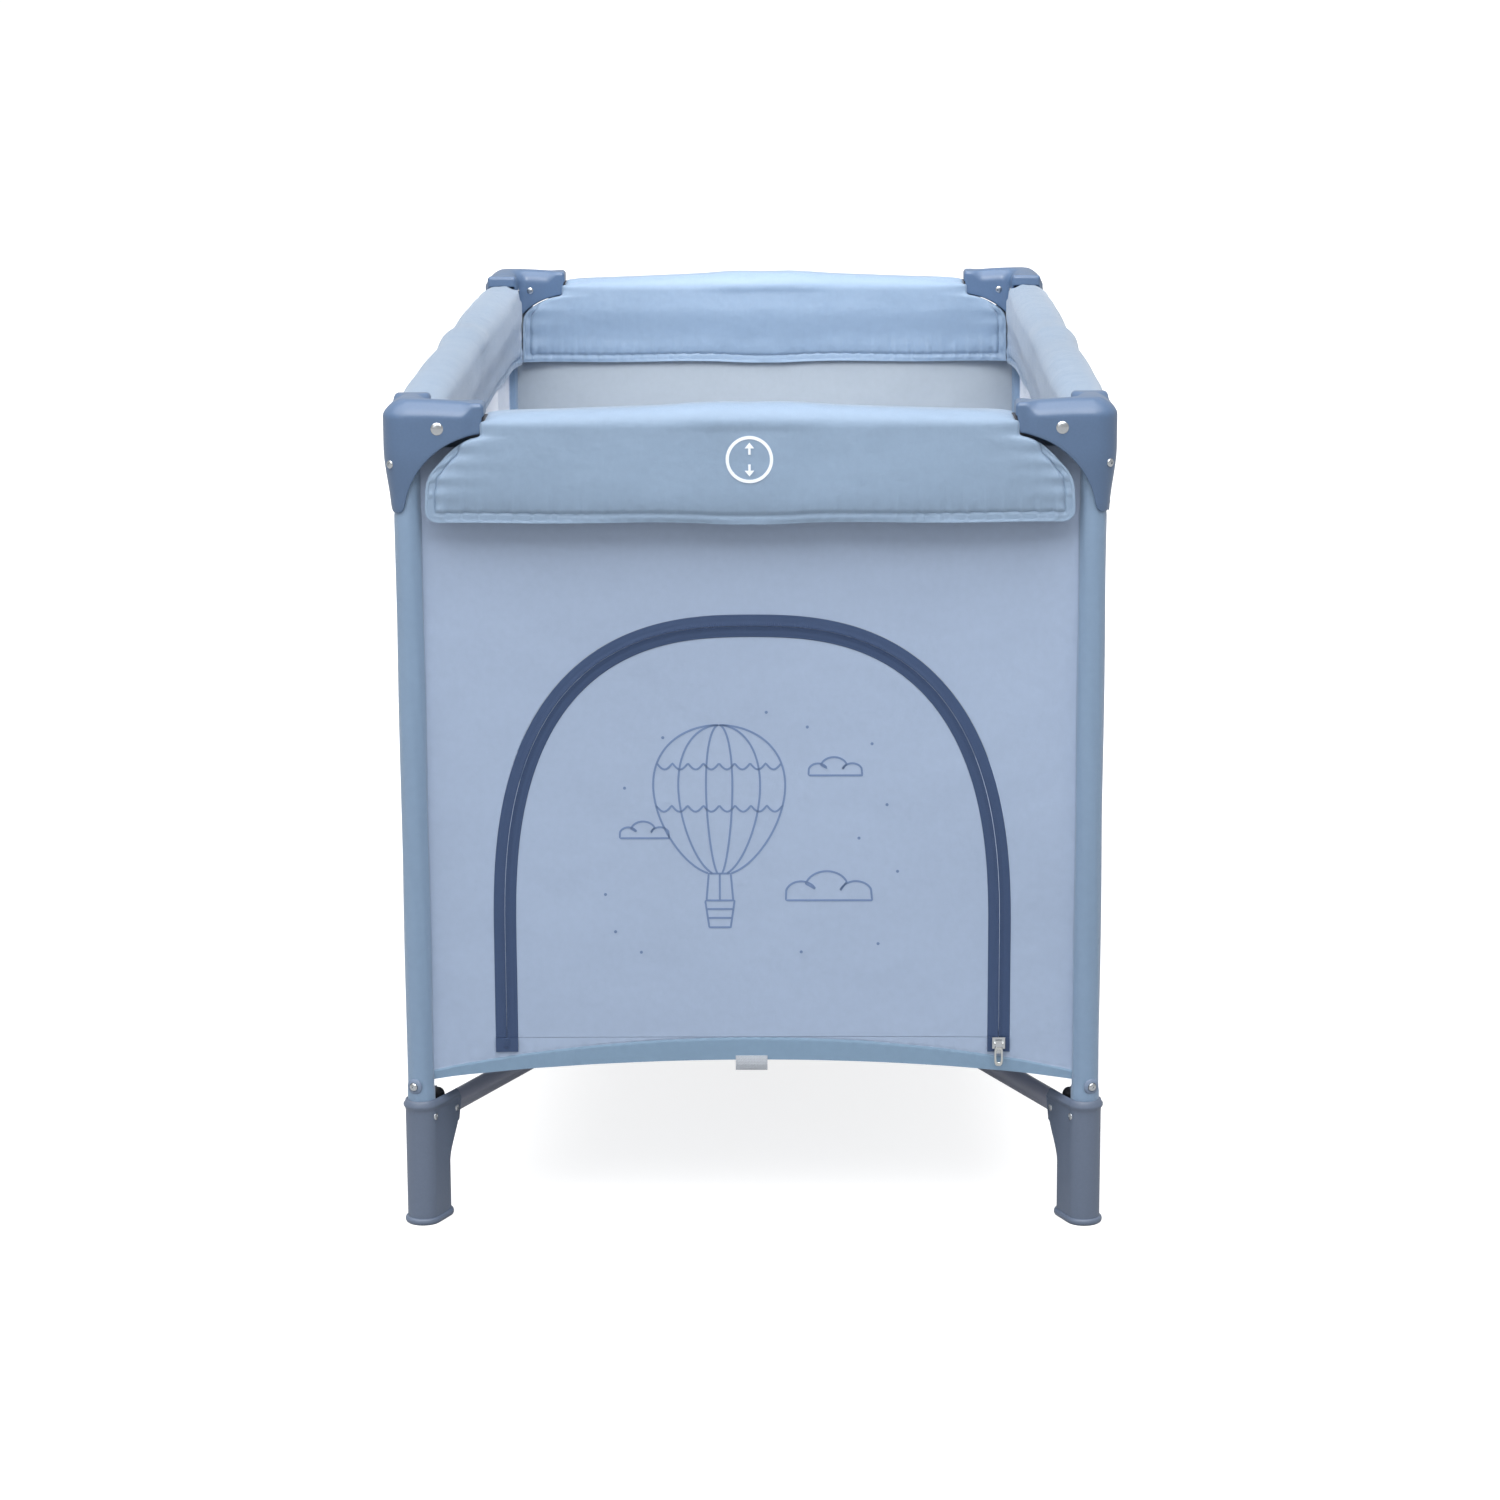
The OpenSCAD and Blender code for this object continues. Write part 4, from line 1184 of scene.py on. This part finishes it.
def mattress_skin():
    """A flat pad from a sphere's grid: the plan is |x/a|^12 + |y/b|^12 = 1, which closes towards the poles
    with the cosine of the lift. The top sinks by 35 hundredths of the pad's half thickness in cross
    channels at even quarters, and by a quarter of it along a line 30 mm inside the edge."""
    turn = np.linspace(0, 2 * math.pi, 241)[:-1][None, :]
    lift = np.linspace(-0.5, 0.5, 61)[:, None] * math.pi
    size = (mattress_high - mattress_low) / 2
    centre = (mattress_high + mattress_low) / 2
    ring_x, ring_y = squared_round(turn, 2 / 12)
    polar = 1.1
    near_pole = np.cos(lift) / math.cos(polar) * math.cos(polar) ** 0.25
    reach_in = np.where(np.abs(lift) > polar, near_pole, np.abs(np.cos(lift)) ** 0.25)
    x = (size[0] - 0.002) * ring_x * reach_in
    y = (size[1] - 0.002) * ring_y * reach_in
    thick = (size[2] - 0.0015) * np.sign(lift) * np.minimum(1, np.abs(np.sin(lift)) * 1.15)
    channel = sum(bell(y - at * size[1], 0.008) for at in (-0.5, 0, 0.5))
    border = bell(np.minimum(size[0] - np.abs(x), size[1] - np.abs(y)) - 0.030, 0.006)
    z = thick * (1 - 0.35 * channel * (lift > 0) - 0.25 * border * (lift > 0))
    return np.stack([centre[0] + x, centre[1] + y, centre[2] + z], axis=-1)


mattress_grid = mattress_skin()
mattress = make_skin(
    "mattress_pad", mattress_grid, mattress_cloth, wrap=True, crease=70, cut=mattress_grid[..., :2]
)
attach(mattress, "mattress")
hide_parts("mattress")


# Rail covers: padded channels of satin over foam that wrap the rails from the corner caps to the locks.
# Their open edges are turned and stitched 8.8 mm in, so the foam swells between the stitch lines.
pad_cloth = mix_cloth("pad_cloth", (134, 156, 181), crease=0.0012, roughness=0.34, sheen=0.35)
pad_low_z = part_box("pad_front_l")[0][2]
pad_top_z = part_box("pad_front_l")[1][2]
pad_half = 0.0200
pad_thick = 0.0030
pad_bend = 0.0170
stitch_inset = 0.0088
outer_gap, inner_gap = 0.0100, 0.0005
cover_corner = 0.0120
inner_side_gap = 0.0208


def cover_end(across, z, outer_side_gap):
    """How far from the post's centre line a cover ends at height z: a circle inside the cap's sweep by a
    gap that opens downwards, not nearer than a side gap, and straight up past the arm's end. The gap
    closes towards the inside of the pen, where the covers meet in the corners. Outside, the lower
    corner is rounded off."""
    outside = ease(0.5 + across / pad_half)
    opening = inner_gap + (outer_gap - inner_gap) * ease((pen_top - 0.022 - z) / 0.040)
    radius = sweep_round - (inner_gap + (opening - inner_gap) * outside)
    side_gap = inner_side_gap + (outer_side_gap - inner_side_gap) * outside
    low = np.clip(cover_corner - (z - pad_low_z), 0, cover_corner)
    side_gap = side_gap + outside * (cover_corner - np.sqrt(cover_corner**2 - low**2))
    up = z - pen_top - sweep_up
    curve_in = sweep_along - np.sqrt(np.clip(radius**2 - up**2, 0, None))
    bent_back = np.clip(np.abs(across) - cap_half + cap_end_bend, 0, cap_end_bend)
    past_end = cap_reach + 0.0006 - cap_end_bend + np.sqrt(cap_end_bend**2 - bent_back**2)
    swept = np.where(up > radius - 1e-6, past_end, np.minimum(curve_in, past_end))
    soft = 0.004
    return soft * np.log(np.exp(swept / soft) + np.exp(side_gap / soft))


def cover_section(count):
    """The channel's section from its outer hem over the rounded top to its inner hem: across and up at
    even shares of its length, and the way out."""
    side = np.linspace(pad_low_z, pad_top_z - pad_bend, 46)
    angle = np.linspace(0, math.pi, 50)[1:-1]
    flat = pad_half - pad_bend
    bend = np.where(angle < math.pi / 2, flat, -flat) + pad_bend * np.cos(angle)
    across = np.concatenate([np.full(side.size, pad_half), bend, np.full(side.size, -pad_half)])
    up = np.concatenate([side, pad_top_z - pad_bend + pad_bend * np.sin(angle), side[::-1]])
    line = even_steps(np.stack([across, up], axis=-1), count)
    along = np.gradient(line, axis=0)
    along = along / np.linalg.norm(along, axis=1)[:, None]
    return line, np.stack([along[:, 1], -along[:, 0]], axis=-1)


def cover_skin(post, outer_side_gap, inner_lean, seed):
    """Both faces of a cover: u along from the rail's middle, v round the section. The foam lifts the
    outer face by 3.5 mm * (1 - exp(-d / 9 mm)) at distance d inside the stitches, the stitch line pinches
    1.9 mm, and gathers radiate from it: sines along the hem's stitches that fade in 12 mm and across
    the end's that fade in 16 mm. Under the rail the inner side leans to the wall away from the corner,
    and the hem sways up and down a little. The top swells by 2.2 mm over the lock, and slumps by 1 mm
    there and 6 mm at the caps."""
    section, out = cover_section(150)
    run = np.linspace(0, 1, len(section)) * np.linalg.norm(np.diff(section, axis=0), axis=1).sum()
    end = post - cover_end(section[:, 0], section[:, 1], outer_side_gap)
    count = int(post / 0.0022)
    share = np.sin(np.linspace(0, 0.5, count) * math.pi) ** 0.85
    u = share[:, None] * end[None, :]
    v = run[None, :] + 0 * u
    under_arm = ease((pen_top - 0.036 - section[:, 1]) / 0.014)[None, :]
    to_end = end[None, :] - u + stitch_inset * (1 - under_arm)
    to_hem = np.minimum(v, run[-1] - v)
    inside = np.minimum(to_end, to_hem) - stitch_inset
    swell = 0.0035 * (1 - np.exp(-np.clip(inside, 0, None) / 0.009))
    pinch = 0.0019 * bell(inside, 0.0012) + 0.0008 * (inside < 0)
    phase = np.random.default_rng(seed).uniform(0, 2 * math.pi, 8)
    by_hem = np.exp(-np.abs(to_hem - stitch_inset) / 0.012)
    gathers = np.sin(u * 2 * math.pi / 0.0145 + 2.2 * np.sin(u * 37 + phase[0]) + phase[1])
    gathers = gathers + 0.6 * np.sin(u * 2 * math.pi / 0.0081 + phase[2])
    by_end = np.exp(-np.abs(to_end - stitch_inset) / 0.016)
    drags = np.sin(v * 2 * math.pi / 0.019 + 1.5 * np.sin(v * 60 + phase[3]) + phase[4])
    folds = np.sin(46 * u + 9 * np.sin(5 * u + phase[5]) + 40 * v) * np.sin(23 * u + phase[6] - 25 * v)
    broad = np.sin(14 * u + 12 * v + phase[7])
    relief = 0.0007 * gathers * by_hem + 0.0009 * drags * by_end + 0.0006 * folds + 0.0009 * broad
    relief = relief * np.clip(u / 0.03, 0, 1)
    by_top = ease((section[:, 1] - pad_top_z + 0.020) / 0.010)[None, :]
    over_lock = 0.0022 * np.exp(-((u / 0.065) ** 4)) * by_top
    height = swell - pinch + relief * (inside > -0.006) + over_lock
    below_rail = ease((rail_z - 0.020 - section[:, 1]) / 0.045)[None, :]
    lean = inner_lean * below_rail * (section[:, 0] < 0) * (1 - np.exp(-(end[None, :] - u) / 0.045))
    sway = 0.0022 * below_rail * (np.sin(11 * u + phase[5]) + 0.5 * np.sin(27 * u + phase[6]))
    over_rail = ease((section[:, 1] - rail_z) / (pad_top_z - rail_z))[None, :]
    slump = (0.0010 + 0.0050 * (u / end[None, :]) ** 2) * over_rail
    base_across = section[None, :, 0] + lean
    base_up = section[None, :, 1] - sway * np.clip(u / 0.05, 0, 1) - slump
    faces = []
    for lift in (height, -pad_thick + 0.0014 * (inside < 0)):
        across = base_across + out[None, :, 0] * lift
        faces.append(np.stack([u, across, base_up + out[None, :, 1] * lift], axis=-1))
    return faces, np.stack([u, v], axis=-1)


cover_shapes = {
    "end": cover_skin(post_x, outer_side_gap=0.0170, inner_lean=0.0060, seed=3),
    "side": cover_skin(post_y, outer_side_gap=0.0520, inner_lean=0.0095, seed=8),
}
covers = [
    ("front_l", "end", "front_rail_left", "front_lock"),
    ("front_r", "end", "front_rail_right", "front_lock"),
    ("back_l", "end", "back_rail_left", "back_lock"),
    ("back_r", "end", "back_rail_right", "back_lock"),
    ("left_f", "side", "left_rail_front", "left_lock"),
    ("left_b", "side", "left_rail_back", "left_lock"),
    ("right_f", "side", "right_rail_front", "right_lock"),
    ("right_b", "side", "right_rail_back", "right_lock"),
]
for key, kind, rail_body, lock_body in covers:
    place, half = key.split("_")
    toward = {"l": -1, "r": 1, "f": -1, "b": 1}[half]
    outward = {"front": -1, "back": 1, "left": -1, "right": 1}[place]
    faces, cut = cover_shapes[kind]
    placed = []
    for grid in faces:
        along, across, up = toward * grid[..., 0], outward * grid[..., 1], grid[..., 2]
        if kind == "end":
            placed.append(np.stack([along, outward * post_y + across, up], axis=-1))
        else:
            placed.append(np.stack([outward * post_x + across, along, up], axis=-1))
    cover = make_shell("cover_" + key, placed[0], placed[1], pad_cloth, cut, crease=75)
    way = np.array([toward, 0, 0.0]) if kind == "end" else np.array([0, toward, 0.0])
    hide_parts("pad_" + key)
    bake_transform(cover)


# Lock mark: a printed ring with an arrow up and an arrow down on the front cover, over the lock's button.
mark_ink = mix_moulding("mark_ink", (228, 234, 242), roughness=0.5)
mark_z = 0.732
mark_y = -(post_y + pad_half) - 0.0042
mark_thick = 0.0012


def mark_patch(make, rows, columns):
    """A thin patch on the cover's face, from a function of two shares that gives x and z."""
    a, b = np.meshgrid(np.linspace(0, 1, columns), np.linspace(0, 1, rows))
    x, z = make(a, b)
    outer = np.stack([x, mark_y + 0 * x, z], axis=-1)
    inner = outer + np.array([0, mark_thick, 0])
    return make_shell("mark", outer, inner, mark_ink, cut=np.stack([x, z], axis=-1))


def ring_patch(a, b):
    """A ring 2.9 mm wide round the mark's middle."""
    radius = 0.0186 + 0.0029 * b
    return radius * np.cos(2 * math.pi * a), mark_z + radius * np.sin(2 * math.pi * a)


def arrow_patch(way, foot, high, wide, narrowing):
    """Part of an arrow that points up (way 1) or down (way -1): a strip from foot, high and wide, which
    narrows by a share of its width."""
    return lambda a, b: ((a - 0.5) * wide * (1 - narrowing * b), mark_z + way * (foot + high * b))


marks = [mark_patch(ring_patch, 3, 80)]
for way in (1, -1):
    marks.append(mark_patch(arrow_patch(way, 0.0045, 0.0060, 0.0022, 0), 2, 2))
    marks.append(mark_patch(arrow_patch(way, 0.0102, 0.0052, 0.0086, 1), 6, 5))
lock_mark = join_pieces("lock_mark", marks)
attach(lock_mark, "front_lock")


# The studio: a long lens from the front, a little above the rails; a pale floor that runs out of sight;
# and large soft lamps in a white room, so that the cloth shades gently.
lens = bpy.data.cameras.new("studio_lens")
lens.lens = 95.13
lens.sensor_width = 36.0
camera_place = (0.0543, -4.1963, 1.2462)
camera_turn, camera_dip, camera_roll = 0.01545, 0.21659, -0.00471
camera = bpy.data.objects.new("studio_camera", lens)
camera.matrix_world = (
    Matrix.Translation(camera_place)
    @ Matrix.Rotation(camera_turn, 4, "Z")
    @ Matrix.Rotation(math.pi / 2 - camera_dip, 4, "X")
    @ Matrix.Rotation(camera_roll, 4, "Z")
)
bpy.context.collection.objects.link(camera)
bpy.context.scene.camera = camera
bpy.context.scene.view_settings.view_transform = "Standard"


def hang_lamp(name, place, aim, size, watts, spread=180):
    """A square area lamp at place, turned towards aim, whose light keeps within spread degrees."""
    light = bpy.data.lights.new(name, "AREA")
    light.size = size
    light.energy = watts
    light.spread = math.radians(spread)
    lamp = bpy.data.objects.new(name, light)
    lamp.visible_camera = False
    way = np.array(aim, float) - np.array(place, float)
    tilt = math.acos(-way[2] / np.linalg.norm(way))
    turn = math.atan2(way[1], way[0]) - math.pi / 2
    lamp.matrix_world = (
        Matrix.Translation(place) @ Matrix.Rotation(turn, 4, "Z") @ Matrix.Rotation(tilt, 4, "X")
    )
    bpy.context.collection.objects.link(lamp)


hang_lamp("front_lamp", (-2.2, -4.4, 2.6), (0, 0, 0.4), 2.4, 14)
hang_lamp("inner_lamp", (0, -1.2, 1.9), (0, 0.6, 0.7), 1.2, 12)
hang_lamp("back_lamp", (0, -0.25, 1.45), (0, 0.6, 0.72), 0.4, 1.0, spread=50)
high_sun = bpy.data.lights.new("high_sun", "SUN")
high_sun.energy = 3.4
high_sun.angle = math.radians(80)
sun = bpy.data.objects.new("high_sun", high_sun)
sun_turn, sun_tilt = math.radians(-25), math.radians(14)
sun.matrix_world = Matrix.Rotation(sun_turn, 4, "Z") @ Matrix.Rotation(sun_tilt, 4, "X")
bpy.context.collection.objects.link(sun)

room = bpy.data.worlds.new("white_room")
room.use_nodes = True
walls = room.node_tree.nodes["Background"]
seen = room.node_tree.nodes.new("ShaderNodeLightPath").outputs["Is Camera Ray"]
walls.inputs["Color"].default_value = (1.0, 1.0, 1.0, 1.0)
room_glow = work_out(room.node_tree, "MULTIPLY_ADD", seen, 0.5, 0.55)
room.node_tree.links.new(room_glow, walls.inputs["Strength"])
bpy.context.scene.world = room

floor_size = 60.0
floor_mesh = bpy.data.meshes.new("studio_floor")
floor_corners = np.array([(-1, -1, 0), (1, -1, 0), (1, 1, 0), (-1, 1, 0)]) * floor_size / 2
floor_mesh.from_pydata(floor_corners.tolist(), [], [(0, 1, 2, 3)])
studio_floor = bpy.data.objects.new("studio_floor", floor_mesh)
bpy.context.collection.objects.link(studio_floor)
floor_paint = bpy.data.materials.new("pale_floor")
floor_paint.use_nodes = True
floor_shader = floor_paint.node_tree.nodes["Principled BSDF"]
floor_shader.inputs["Base Color"].default_value = (0.42, 0.42, 0.42, 1.0)
floor_shader.inputs["Roughness"].default_value = 0.9
floor_shader.inputs["Emission Color"].default_value = (1.0, 1.0, 1.0, 1.0)
floor_seen = floor_paint.node_tree.nodes.new("ShaderNodeLightPath").outputs["Is Camera Ray"]
floor_glow = work_out(floor_paint.node_tree, "MULTIPLY", floor_seen, 0.80)
floor_paint.node_tree.links.new(floor_glow, floor_shader.inputs["Emission Strength"])
floor_mesh.materials.append(floor_paint)
